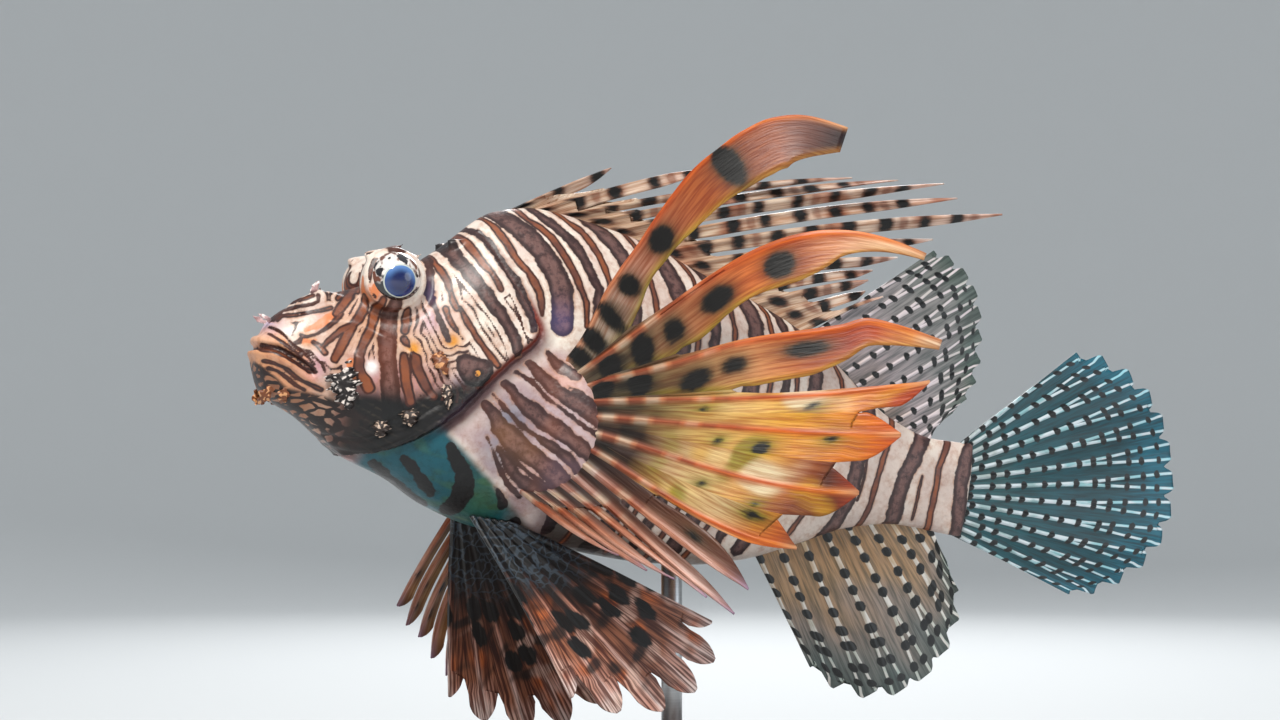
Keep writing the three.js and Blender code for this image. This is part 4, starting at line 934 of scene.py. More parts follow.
def placed(tree, stretch=(1, 1, 1)):
    """Places on the object, stretched along its axes."""
    coords = tree.nodes.new("ShaderNodeTexCoord")
    made = tree.nodes.new("ShaderNodeMapping")
    made.inputs["Scale"].default_value = stretch
    tree.links.new(coords.outputs["Object"], made.inputs["Vector"])
    return made.outputs[0]


def noise(tree, way, scale, detail=2.0, rough=0.5, what="Fac"):
    """Noise read at a place."""
    made = tree.nodes.new("ShaderNodeTexNoise")
    made.inputs["Scale"].default_value = scale
    made.inputs["Detail"].default_value = detail
    made.inputs["Roughness"].default_value = rough
    tree.links.new(way, made.inputs["Vector"])
    return made.outputs[what]


def spots(tree, size, detail=2.0, stretch=(1, 1, 1), rough=0.5):
    """Noise from 0 to 1 with features about this many millimetres across."""
    return noise(tree, placed(tree, stretch), 1000 / size, detail, rough)


def wander(tree, value, by, reach):
    """A value pushed up and down by noise, over this reach in all."""
    return calc(tree, "ADD", value, calc(tree, "MULTIPLY_ADD", by, reach, -reach / 2))


def cells(tree, size, feature="F1", stretch=(1, 1, 1), bend=0.0):
    """Distances in a pattern of cells about this many millimetres across."""
    way = placed(tree, stretch)
    made = tree.nodes.new("ShaderNodeTexVoronoi")
    made.feature = feature
    made.inputs["Scale"].default_value = 1000 / size
    if bend:
        curl = noise(tree, way, 700 / size, what="Color")
        push = tree.nodes.new("ShaderNodeVectorMath")
        push.operation = "MULTIPLY_ADD"
        tree.links.new(curl, push.inputs[0])
        push.inputs[1].default_value = (bend * size / 1000,) * 3
        tree.links.new(way, push.inputs[2])
        way = push.outputs[0]
    tree.links.new(way, made.inputs["Vector"])
    return made.outputs["Distance"]


def raised(tree, height, distance, strength=1.0, below=None):
    """A bumpy normal from a height between 0 and 1 and its depth in millimetres."""
    made = tree.nodes.new("ShaderNodeBump")
    made.inputs["Strength"].default_value = strength
    made.inputs["Distance"].default_value = distance / 1000
    wire(tree, height, made.inputs["Height"])
    if below is not None:
        tree.links.new(below, made.inputs["Normal"])
    return made.outputs[0]


def new_material(name, rough=0.5, metal=0.0, coat=0.0, coat_rough=0.1, shine=0.5):
    """A material whose constant numbers sit on the shader's own sockets."""
    made = bpy.data.materials.new(name)
    made.use_nodes = True
    shader = made.node_tree.nodes["Principled BSDF"]
    for socket, number in (("Roughness", rough), ("Metallic", metal), ("Coat Weight", coat),
                           ("Coat Roughness", coat_rough), ("Specular IOR Level", shine)):
        shader.inputs[socket].default_value = number
    return made, made.node_tree, shader


print("node helpers ready")

# %% [markdown]
# ## The skin's finish
# A real bar is never ruled: its edge frays, and its middle is lighter and mottled. That could be drawn into
# the lines themselves, but noise in the material does it everywhere at once. Cream ground, brown stripes and
# dark bars are laid over each other, and noise nudges every edge.

# %% Skin material
skin_look, tree, shader = new_material("fish skin", rough=0.42, coat=0.12, coat_rough=0.28, shine=0.45)
ragged = calc(tree, "MULTIPLY_ADD", spots(tree, 5.0, 2.0), 2.4, -1.2)
fine = calc(tree, "MULTIPLY_ADD", spots(tree, 1.3, 1.0), 0.7, -0.35)
nudge = calc(tree, "ADD", ragged, fine)
small = calc(tree, "MULTIPLY", nudge, 0.45)
dark_at = calc(tree, "ADD", read(tree, "dark"), nudge)
brown_at = calc(tree, "ADD", read(tree, "brown"), small)
tan_at = calc(tree, "ADD", read(tree, "tan"), nudge)
mottle = spots(tree, 3.2, 4.0, rough=0.65)
ground_now = mix(tree, ease(tree, mottle, 0.4, 0.8), paint(tree, "ground"),
                 stained(tree, paint(tree, "ground"), colour(222, 198, 186)))
open_ground = calc(tree, "MINIMUM", dark_at, brown_at)
beside = calc(tree, "MULTIPLY", ease(tree, open_ground, 0.8, 0.1), ease(tree, spots(tree, 6.0), 0.4, 0.6))
beside = calc(tree, "MULTIPLY", beside, read(tree, "core"))
ground_now = mix(tree, calc(tree, "MULTIPLY", beside, 0.5), ground_now, colour(178, 120, 84))
net_line = cells(tree, 3.4, "DISTANCE_TO_EDGE", (0.6, 0.8, 1.3), 1.1)
net_now = calc(tree, "MULTIPLY", ease(tree, net_line, 0.24, 0.14), read(tree, "net"))
ground_now = mix(tree, net_now, ground_now, colour(36, 20, 18))
with_tan = mix(tree, ease(tree, tan_at, 0.35, -0.35), ground_now, colour(222, 132, 84))
brown_edge = mix(tree, ease(tree, spots(tree, 6.0), 0.35, 0.65), colour(72, 32, 20), colour(50, 27, 26))
brown_heart = mix(tree, ease(tree, spots(tree, 7.0), 0.35, 0.65), colour(142, 78, 46), colour(104, 60, 48))
brown_ink = mix(tree, ease(tree, brown_at, -0.45, -1.0), brown_edge, brown_heart)
with_brown = mix(tree, ease(tree, brown_at, 0.22, -0.22), with_tan, brown_ink)
ink_now = paint(tree, "ink")
pale_ink = stained(tree, ink_now, colour(152, 112, 104), "SCREEN")
heart = ease(tree, dark_at, -0.7, -2.2)
heart = calc(tree, "MULTIPLY", heart, ease(tree, spots(tree, 2.6, 4.0, rough=0.7), 0.3, 0.62))
heart = calc(tree, "MULTIPLY", heart, read(tree, "core"))
ink_now = mix(tree, calc(tree, "MULTIPLY", heart, 0.45), ink_now, pale_ink)
with_dark = mix(tree, ease(tree, dark_at, 0.24, -0.24), with_brown, ink_now)
wire(tree, with_dark, shader.inputs["Base Color"])
scale_height = calc(tree, "MULTIPLY", cells(tree, 1.5, "SMOOTH_F1", (1, 1, 1.25)), read(tree, "scaly"))
lumpy = raised(tree, spots(tree, 1.6, 4.0, rough=0.6), 0.28, 0.6)
wire(tree, raised(tree, scale_height, 0.22, 0.8, lumpy), shader.inputs["Normal"])
wire(tree, ease(tree, mottle, 0.2, 0.8, 0.34, 0.52), shader.inputs["Roughness"])
skin.data.materials.append(skin_look)
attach(skin, "root")
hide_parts("head", "lower_jaw", "trunk", "tail_stalk", "pectoral_palm_left", "pectoral_palm_right")
print("skin material has", len(tree.nodes), "nodes")

# %% [markdown]
# ## Fins as fans of leaves
# Each ray of a real fin carries a strip of membrane on both sides, like a leaf. Near the root neighbouring
# leaves are joined into a web, and further out they part. A fin could be a flat card with a cut-out picture,
# but it would look empty from the side. The CAD solids are built of leaves with few points. Here the rows
# and columns are fine enough for round ribs, and each corner remembers where it is on its leaf.

# %% The free edges of a leaf
LEAF_GAP = 0.3
LEAST_LEAF = 0.3
WEB_SLACK = 0.14
TIP_FROM = 0.7
WAY_STEP = 0.06


def leaf_edge(ray, other, share, flag, web, v):
    """The free edge of a leaf on the side of another ray, beyond the web between them."""
    on_ray = ray["curve"](v)
    way = unit(ray["curve"](np.minimum(1, v + WAY_STEP)) - ray["curve"](np.maximum(0, v - WAY_STEP)))
    reach = other["curve"](v) - on_ray
    reach = reach - way * (reach * way).sum(1, keepdims=True)
    span = np.linalg.norm(reach, axis=1)
    taper = np.minimum(1, 0.4 + 2.4 * v) * (1 - 0.96 * np.clip((v - TIP_FROM) / (1 - TIP_FROM), 0, 1) ** 2)
    room = share * span - 2 * LEAF_GAP
    slack = np.clip(1 - (v - web) / WEB_SLACK, 0, 1) ** 2
    wide = along(flag, v) if isinstance(flag, list) else flag * taper
    width = wide + np.maximum(0, room - wide) * slack
    width = np.maximum(LEAST_LEAF, np.minimum(room, width))
    return on_ray + reach / np.maximum(span, 1e-6)[:, None] * width[:, None]


def outer_edge(ray, other, v):
    """The edge of the first or last leaf, on the side where there is no other ray."""
    away = unit(ray["curve"](v) - other["curve"](v))
    return ray["curve"](v) + away * np.maximum(LEAST_LEAF, 1 - v)[:, None]


print("leaf edges ready")


# %% Build one fin
def build_fan(rays, rows, half, ray_thick, web_thick, edge_thick, sag=0.0, fork=0.0, rib=0.9):
    """A closed fin from its rays, with rib and fork sizes in mm, and values for each corner."""
    v = np.linspace(0, 1, rows)
    count = len(rays)
    columns = 2 * half + 1
    grid = np.zeros((count, columns, rows, 3))
    across = np.zeros((count, columns, rows))
    share_out = (np.arange(1, half + 1) / half) ** 1.35
    vertex = np.arange(count * columns * rows).reshape(count, columns, rows)
    for i, ray in enumerate(rays):
        middle = ray["curve"](v)
        below = rays[i + 1] if i + 1 < count else None
        above = rays[i - 1] if i else None
        if below is None:
            low = outer_edge(ray, above, v)
        else:
            webbed = middle + (below["curve"](v) - middle) * ray["share"]
            free = leaf_edge(ray, below, ray["share"], ray["low"], ray["web"], v)
            low = np.where((v <= ray["web"])[:, None], webbed, free)
        if above is None:
            high = outer_edge(ray, below, v)
        else:
            webbed = middle + (above["curve"](v) - middle) * (1 - above["share"])
            free = leaf_edge(ray, above, 1 - above["share"], ray["high"], above["web"], v)
            high = np.where((v <= above["web"])[:, None], webbed, free)
            vertex[i, 0, v <= above["web"]] = vertex[i - 1, -1, v <= above["web"]]
        way = unit(np.gradient(middle, axis=0))
        facing = unit(np.cross(way, unit(low - high)))
        halves = ((-1, high, range(half - 1, -1, -1)), (1, low, range(half + 1, columns)))
        for side, edge, columns_out in halves:
            width = np.linalg.norm(edge - middle, axis=1)
            for k, column in enumerate(columns_out):
                out = share_out[k]
                dip = sag * width * out ** 2 * (1 - v ** 3)
                grid[i, column] = middle + (edge - middle) * out + facing * dip[:, None]
                across[i, column] = side * width * out
        grid[i, half] = middle
    fork_half = fork * fade(v, 0.42, 1.1)[None, None, :]
    off = np.abs(across) - fork_half
    ribbed = np.exp(-(off / rib) ** 2)
    reach_share = np.broadcast_to(v, across.shape)
    ray_here = ray_thick + (edge_thick - ray_thick) * reach_share ** 1.6
    web_here = web_thick + (edge_thick - web_thick) * reach_share
    thick = web_here + np.maximum(0, ray_here - web_here) * ribbed
    return sheet_from(grid, vertex, thick, across, off, v, rays)


def sheet_from(grid, vertex, thick, across, off, v, rays):
    """Thicken the middle surface of a fin and close its rim."""
    count, columns, rows = across.shape
    ids = np.arange(count * columns * rows).reshape(count, columns, rows)
    quads = np.stack([ids[:, :-1, :-1], ids[:, 1:, :-1], ids[:, 1:, 1:], ids[:, :-1, 1:]], -1).reshape(-1, 4)
    points = grid.reshape(-1, 3)
    owner = vertex.reshape(-1)
    joined = owner[quads]
    normal = np.zeros_like(points)
    a, b, c, d = (points[joined[:, k]] for k in range(4))
    facing = np.cross(c - a, d - b)
    for k in range(4):
        for axis in range(3):
            normal[:, axis] += np.bincount(joined[:, k], facing[:, axis], len(points))
    normal = unit(normal)
    half_thick = thick.reshape(-1, 1) / 2
    total = len(points)
    both = np.vstack([points + normal * half_thick, points - normal * half_thick])
    start = np.concatenate([joined[:, k] for k in range(4)])
    stop = np.concatenate([joined[:, (k + 1) % 4] for k in range(4)])
    start_id = np.concatenate([quads[:, k] for k in range(4)])
    stop_id = np.concatenate([quads[:, (k + 1) % 4] for k in range(4)])
    rim = ~np.isin(stop * total + start, start * total + stop)
    rim_faces = np.stack([stop[rim], start[rim], start[rim] + total, stop[rim] + total], 1)
    rim_ids = np.stack([stop_id[rim], start_id[rim], start_id[rim], stop_id[rim]], 1)
    faces = np.vstack([joined, joined[:, ::-1] + total, rim_faces])
    corners = np.vstack([quads, quads[:, ::-1], rim_ids]).ravel()
    used, faces = np.unique(faces, return_inverse=True)
    both = both[used]
    faces = faces.reshape(-1, 4)
    triangles = np.vstack([faces[:, [0, 1, 2]], faces[:, [0, 2, 3]]])
    if volume_of(both, triangles) < 0:
        faces = faces[:, ::-1]
        corners = corners.reshape(-1, 4)[:, ::-1].ravel()
    lengths = np.array([np.linalg.norm(np.diff(ray["curve"](v), axis=0), axis=1).sum() for ray in rays])
    leaf = np.broadcast_to(np.arange(count)[:, None, None], across.shape)
    width = np.maximum(np.abs(across[:, :1]), np.abs(across[:, -1:])) + 0 * across
    flat = {
        "v": np.broadcast_to(v, across.shape), "across": across, "off": off, "leaf": leaf,
        "mm": v * lengths[:, None, None] + 0 * across, "half": width,
    }
    return both, faces, {key: np.ascontiguousarray(data).reshape(-1)[corners] for key, data in flat.items()}


def ray_direction(out, rise, side):
    """The way that a ray points, from its angle away from the body and its rise, in degrees."""
    out, rise = math.radians(out), math.radians(rise)
    return np.array([math.cos(out) * math.cos(rise), side * math.sin(out) * math.cos(rise), math.sin(rise)])


print("fin builder ready")

# %% Rays of the pectoral fins
PALM_TOP_ANGLE = 71
PALM_SWEEP = -167
PECTORAL_RISE = [46, 25.5, 12.7, 9.9, 3.3, -5.4, -17, -26.8, -29.2, -26, -23, -22, -20]
PECTORAL_LENGTH = [116, 116, 113, 107, 98, 88, 75.5, 69, 71.5, 64, 56, 52, 47]
PECTORAL_BEND = [0.25, 0.15, 0.06, -0.03, -0.016, -0.04, -0.047, 0, 0, 0.01, -0.02, 0, -0.02]
FEATHER_WIDTH = [
    [[0, 5], [0.13, 6.5], [0.21, 9.5], [0.33, 10], [0.42, 11], [0.5, 13], [0.6, 15], [0.68, 16.2],
     [0.8, 17.5], [0.87, 17.5], [0.93, 15.5], [0.97, 12], [1, 8.5]],
    [[0, 6], [0.19, 12], [0.3, 15], [0.39, 14], [0.51, 12.6], [0.66, 14], [0.74, 12.5], [0.78, 10.5],
     [0.82, 7.5], [0.9, 4.6], [1, 2]],
    [[0, 5], [0.24, 7.5], [0.36, 10.8], [0.47, 14.4], [0.64, 13.8], [0.78, 9], [0.93, 5], [1, 3]],
]
FEATHER_NUDGE = [
    [[0, 0], [0.13, -1], [0.21, -1], [0.28, -2.4], [0.4, -6], [0.55, -7.8], [0.68, -7.4], [0.78, -4.6],
     [0.87, -0.4], [0.95, 2.2], [1, 1.6]],
    [[0, 0], [0.13, 1], [0.5, 0.2], [1, 0.2]],
    [[0, 0], [0.1, 1.5], [0.3, 1.2], [0.45, 2.2], [0.64, 1.8], [0.74, 2.6], [0.82, 5], [0.88, 4.2],
     [1, 2.6]],
]
PECTORAL_LOW_FLAG = [*FEATHER_WIDTH, 12, 12, 12, 2, 1, 1, 1, 1, 1, 1]
PECTORAL_HIGH_FLAG = [1, 1.2, 1.2, 1.5, 12, 12, 12, 7, 3.6, 3.4, 3.2, 3, 2.8]
ROUND_LEAF = [[0, 2], [0.25, 5.5], [0.6, 7], [0.85, 6], [0.93, 4.6], [0.98, 2.8], [1, 1]]
PECTORAL_SHARE = [0.84, 0.84, 0.84, 0.5, 0.5, 0.5, 0.2, 0.25, 0.25, 0.25, 0.25, 0.25, 0.5]
PECTORAL_WEB = [0.22, 0.3, 0.45, 0.85, 0.87, 0.85, 0.4, 0.3, 0.26, 0.26, 0.26, 0.26, 0.26]
PECTORAL_POSE = {
    LEFT: {"lift": (0, 0), "out": (34, 60), "leaf": 1.0},
    RIGHT: {"lift": (-24, -42), "out": (48, 126), "leaf": 2.4},
}


def pectoral_ray(side, i):
    """One ray of a pectoral fin, counted from the top."""
    pose = PECTORAL_POSE[side]
    share = i / 12
    lift = pose["lift"][0] + (pose["lift"][1] - pose["lift"][0]) * share
    spoke = math.radians(PALM_TOP_ANGLE + lift * 0.4 + PALM_SWEEP * share)
    inner = PALM["radius"] - 4
    root = np.array([PALM["x"] + inner * math.cos(spoke) * math.cos(PALM["out"]),
                     side * (PALM["y"] + inner * math.cos(spoke) * math.sin(PALM["out"])),
                     PALM["z"] + inner * math.sin(spoke)])
    out = pose["out"][0] + (pose["out"][1] - pose["out"][0]) * share ** 1.3
    rise = PECTORAL_RISE[i] + lift
    length = PECTORAL_LENGTH[i]
    ahead, above = ray_direction(out, rise, side), ray_direction(out, rise + 90, side)
    outward = np.array([-math.sin(math.radians(out)), side * math.cos(math.radians(out)), 0])

    def curve(v):
        late = v ** 1.6
        hump = (4 * late * (1 - late) * length)[:, None]
        nudge = along(FEATHER_NUDGE[i], v)[:, None] if i < 3 else 0
        rise_here = above * (hump * PECTORAL_BEND[i] + nudge)
        return root + ahead * (v * (length + 4))[:, None] + rise_here + outward * hump * 0.05

    high = ROUND_LEAF if side == RIGHT and i > 6 else PECTORAL_HIGH_FLAG[i] * pose["leaf"]
    return {"curve": curve, "low": PECTORAL_LOW_FLAG[i], "high": high,
            "web": PECTORAL_WEB[i], "share": PECTORAL_SHARE[i]}


pectorals = {}
for side in (LEFT, RIGHT):
    rays = [pectoral_ray(side, i) for i in range(13)]
    pectorals[side] = build_fan(rays, 130, 10, 2.0, 0.7, 0.45, sag=0.10 * side, rib=0.85)
print("a pectoral fin has", len(pectorals[LEFT][1]), "faces")

# %% Rays of the pelvic fins
PELVIC = {"x": 80, "y": 11, "z": -38, "splay": math.radians(22), "spacing": 2.4}
PELVIC_FALL = [-58, -50, -42, -34, -26, -18]
PELVIC_LENGTH = [66, 76, 83, 85, 83, 75]
PELVIC_SWING = {LEFT: 0, RIGHT: -19}
PELVIC_LOBE = [[0, 14], [0.85, 14], [0.9, 5], [0.95, 3.8], [0.98, 2.4], [1, 0.8]]


def pelvic_ray(side, i):
    """One ray of a pelvic fin, counted from the front."""
    length = PELVIC_LENGTH[i]
    root = np.array([PELVIC["x"] + i * PELVIC["spacing"] - 4, side * PELVIC["y"], PELVIC["z"]])
    fall = math.radians(PELVIC_FALL[i] + PELVIC_SWING[side])
    ahead = np.array([math.cos(fall), -side * math.sin(fall) * math.sin(PELVIC["splay"]),
                      math.sin(fall) * math.cos(PELVIC["splay"])])

    def curve(v):
        cup = (4 * v * (1 - v) * length * 0.04)[:, None]
        return root + ahead * (v * length)[:, None] + np.array([0, side, 0]) * cup

    return {"curve": curve, "low": PELVIC_LOBE, "high": PELVIC_LOBE, "web": 0.85, "share": 0.5}


pelvics = {}
for side in (LEFT, RIGHT):
    rays = [pelvic_ray(side, i) for i in range(6)]
    pelvics[side] = build_fan(rays, 110, 12, 2.0, 0.7, 0.45, sag=0.12 * side, rib=0.9)
print("a pelvic fin has", len(pelvics[LEFT][1]), "faces")

# %% Rays of the dorsal fin
SPINE_LENGTH = [46, 70, 111, 124, 128, 129, 132, 100, 74, 58, 46, 38, 36]
SPINE_RISE = [34, 25, 18.5, 19, 19, 18.5, 17, 16.8, 17, 19, 22, 26, 32]
SPINE_FROM_X = 69
SPINE_TO_X = 182
SPINE_SUNK = 3
SPINE_LEAN = 5
SPINE_WEB = 20
LONGEST_SPINE = 130


def spine_ray(i):
    """One spine of the back, counted from the front, leaning left and right in turn."""
    length = SPINE_LENGTH[i]
    x = SPINE_FROM_X + (SPINE_TO_X - SPINE_FROM_X) * i / 12
    root = np.array([x, float(sway(x)), float(along(BACK, x)) - SPINE_SUNK])
    lean = SPINE_LEAN * (1 if i % 2 else -1) * (length / LONGEST_SPINE)
    rise = math.radians(SPINE_RISE[i])

    def curve(v):
        reach = v * length
        up = reach * math.sin(rise) + 4 * v * (1 - v) * length * 0.02
        return root + np.stack([reach * math.cos(rise), lean * v * v, up], 1)

    web = max(0.15, min(0.5, SPINE_WEB / length))
    return {"curve": curve, "low": 3.6, "high": 1, "web": web, "share": 0.7}


spines = build_fan([spine_ray(i) for i in range(13)], 130, 8, 2.3, 0.6, 0.4, sag=0.05, rib=0.95)
print("the spines have", len(spines[1]), "faces")

# %% Rays of the soft fans
SOFT_FANS = {
    "dorsal_fin_soft": {"rays": 11, "line": BACK, "from": 185.5, "to": 238, "sunk": 3,
                        "oval": (229, 49, 26, 32), "sweep": (84, -62)},
    "anal_fin": {"rays": 9, "line": BELLY, "from": 179, "to": 243, "sunk": -3,
                 "oval": (227, -46, 33, 30), "sweep": (-128, 40)},
    "tail_fin": {"rays": 13, "x": 252, "from": 15, "to": -15.5,
                 "oval": (297, 12.5, 47, 43.5), "sweep": (92, -80)},
}


def fan_ray(fan, i):
    """One ray of a soft fan, from the body's outline or the tail root to an oval of tips."""
    share = i / (fan["rays"] - 1)
    start = fan["from"] + (fan["to"] - fan["from"]) * share
    if "line" in fan:
        root = np.array([start, 0, float(along(fan["line"], start)) - fan["sunk"]])
    else:
        root = np.array([fan["x"], 0, start])
    middle_x, middle_z, long, high = fan["oval"]
    angle = math.radians(fan["sweep"][0] + (fan["sweep"][1] - fan["sweep"][0]) * share)
    tip = np.array([middle_x + long * math.cos(angle), 0, middle_z + high * math.sin(angle)])

    def curve(v):
        points = root + (tip - root) * v[:, None]
        points[:, 1] = sway(points[:, 0]) + 1.6 * v * np.sin(i * 1.1 + 2 * v)
        return points

    return {"curve": curve, "low": 14, "high": 14, "web": 0.965, "share": 0.5}


soft_built = {}
for name, fan in SOFT_FANS.items():
    rays = [fan_ray(fan, i) for i in range(fan["rays"])]
    soft_built[name] = build_fan(rays, 110, 10, 1.5, 0.45, 0.35, sag=0.03, fork=3.0, rib=0.6)
print("the tail fin has", len(soft_built["tail_fin"][1]), "faces")

# %% [markdown]
# ## Colours of the fins
# The pectoral feathers run from banded brown at the root to orange and gold at the tips. The belly fins are
# nearly black with blue-grey flecks. The soft fins are smoky glass with pale rays, each ray dotted black.
# All this could sit in one long material, but broad colours and marks follow the rays. So they are worked
# out for each corner from its place on its leaf, and the material adds the fine streaks.

# %% Values on a fin's corners
def ramp(value, stops):
    """Colours that change along a value, through [value, red, green, blue] stops."""
    at = [stop[0] for stop in stops]
    shades = np.array([colour(*stop[1:]) for stop in stops])
    return np.stack([np.interp(value, at, shades[:, k]) for k in range(3)], 1)


def corner_points(built):
    """The place of each corner of a fin, in mm."""
    points, faces, _ = built
    return points[faces.ravel()]


def marks_on(corner, marks):
    """Distance in mm from the nearest oval mark, given as (leaf, mm along, mm across, length, width)."""
    out = np.full(len(corner["v"]), 9.0)
    for leaf, place, side_step, length, width in marks:
        near = np.flatnonzero(np.abs(corner["leaf"] - leaf) < 0.5)
        ahead = (corner["mm"][near] - place) / length
        aside = (corner["across"][near] - side_step) / width
        gap = np.hypot(ahead, aside) * 2 - 1
        out[near] = np.minimum(out[near], gap * min(length, width) / 2)
    return out


def fin_object(name, built, look, slot, **values):
    """One fin as an object, in place of the CAD solid of that name."""
    points, faces, corner = built
    kept = {key: corner[key] for key in ("v", "mm", "across", "off")}
    made = add_mesh(name, to_world(points), faces, corner_values={**kept, **values})
    made.data.materials.append(look)
    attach(made, "root")
    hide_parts(name)


def streaks(tree, wide, long, detail=3.0):
    """Noise drawn out along the rays: its grain in mm across and along them."""
    joined = tree.nodes.new("ShaderNodeCombineXYZ")
    tree.links.new(calc(tree, "DIVIDE", read(tree, "across"), wide), joined.inputs[0])
    tree.links.new(calc(tree, "DIVIDE", read(tree, "mm"), long), joined.inputs[1])
    tree.links.new(calc(tree, "MULTIPLY", read(tree, "leaf_id"), 7.3), joined.inputs[2])
    return noise(tree, joined.outputs[0], 1.0, detail)


print("fin values ready")

# %% Colours of the pectoral feathers
FEATHER_BASE = {
    0: [[0, 120, 104, 88], [0.12, 206, 190, 172], [0.27, 204, 160, 140], [0.4, 190, 118, 84],
        [0.58, 186, 98, 44], [0.74, 158, 80, 38], [0.86, 170, 88, 44], [0.94, 120, 58, 36], [0.985, 60, 30, 32], [1, 40, 24, 28]],
    1: [[0, 84, 70, 54], [0.16, 132, 112, 84], [0.3, 172, 126, 90], [0.42, 216, 128, 76], [0.6, 232, 124, 46],
        [0.7, 190, 98, 48], [0.8, 232, 158, 104], [0.9, 252, 214, 170], [1, 255, 236, 206]],
    2: [[0, 62, 54, 40], [0.18, 100, 86, 54], [0.34, 168, 128, 84], [0.46, 236, 178, 120],
        [0.62, 228, 130, 62], [0.76, 196, 70, 18], [0.84, 206, 84, 22], [0.93, 250, 176, 96], [0.97, 255, 232, 196],
        [1, 255, 240, 216]],
    3: [[0, 48, 38, 30], [0.18, 84, 74, 44], [0.32, 200, 172, 104], [0.46, 252, 222, 146],
        [0.62, 250, 196, 84], [0.8, 250, 178, 88], [0.9, 214, 92, 34], [1, 196, 76, 30]],
    4: [[0, 44, 32, 28], [0.16, 84, 64, 44], [0.32, 190, 160, 96], [0.46, 246, 206, 124],
        [0.64, 250, 188, 70], [0.8, 246, 160, 56], [0.92, 242, 132, 34], [1, 226, 90, 24]],
    5: [[0, 40, 28, 26], [0.2, 68, 48, 40], [0.34, 206, 172, 124], [0.5, 255, 226, 160],
        [0.66, 250, 196, 104], [0.78, 196, 110, 56], [0.9, 104, 56, 40], [1, 196, 76, 30]],
    6: [[0, 36, 26, 24], [0.2, 62, 44, 34], [0.34, 186, 150, 80], [0.48, 248, 218, 150],
        [0.64, 255, 228, 176], [0.8, 240, 150, 60], [0.92, 220, 110, 44], [1, 130, 66, 40]],
}
LOWER_BASE = [[0, 40, 28, 28], [0.16, 58, 38, 32], [0.4, 92, 56, 40], [0.7, 132, 84, 60], [0.9, 120, 78, 64],
              [1, 84, 60, 70]]
TAN_BASE = [[0, 50, 40, 30], [0.25, 128, 100, 66], [0.6, 190, 154, 104], [0.88, 206, 166, 118],
            [1, 150, 110, 80]]
EDGE_STOPS = [[0, 150, 130, 60], [0.4, 200, 176, 40], [0.55, 236, 190, 70], [1, 220, 160, 90]]
RAY_STOPS = [[0, 232, 180, 150], [0.2, 242, 166, 118], [0.45, 226, 106, 50], [0.7, 240, 112, 22],
             [0.92, 244, 140, 52], [1, 246, 190, 140]]
LOWER_RAY = [[0, 206, 176, 168], [0.12, 240, 214, 200], [0.3, 222, 140, 96], [0.55, 240, 178, 148],
             [0.85, 246, 200, 184], [1, 180, 150, 180]]
FEATHER_MARKS = [
    (0, 8.5, 2.6, 6.5, 13), (0, 16, 3.4, 7, 14), (0, 26, 5.2, 6, 15), (0, 37, 5.4, 7.5, 9),
    (0, 56, 5.4, 10, 9), (0, 92, 6.4, 10, 17),
    (1, 14, 4, 9, 11), (1, 27, 6, 9, 12), (1, 39, 7, 6, 8), (1, 56, 7, 13, 8), (1, 81, 7, 12, 9),
    (2, 8, 2, 9, 9), (2, 21, 4, 10, 9), (2, 41, 7.5, 12, 7), (2, 54, 6.5, 8, 5), (2, 78, 5, 15, 5),
    (3, 78, 3.8, 5, 3), (3, 42, 3.7, 3.5, 2.4), (4, 83, 1.6, 4.5, 3.2), (4, 63, 6.5, 6, 5.5),
    (4, 48, 5, 3, 2.6), (5, 47, 6, 3.4, 2.6), (5, 68, 9, 3, 2.5), (6, 61, -7.5, 8, 3.4),
    (6, 40, 1.6, 5, 2.2), (7, 50, -3.5, 6, 2.4),
]


def lower_marks(rng):
    """Small marks on the lower leaves, in rows with some play."""
    marks = []
    for i in range(7, 13):
        for step in range(4):
            place = 12 + 13 * step + rng.uniform(-3, 3)
            marks.append((i, place, rng.uniform(-2, 1), rng.uniform(4, 7), rng.uniform(2.4, 4.5)))
    return marks


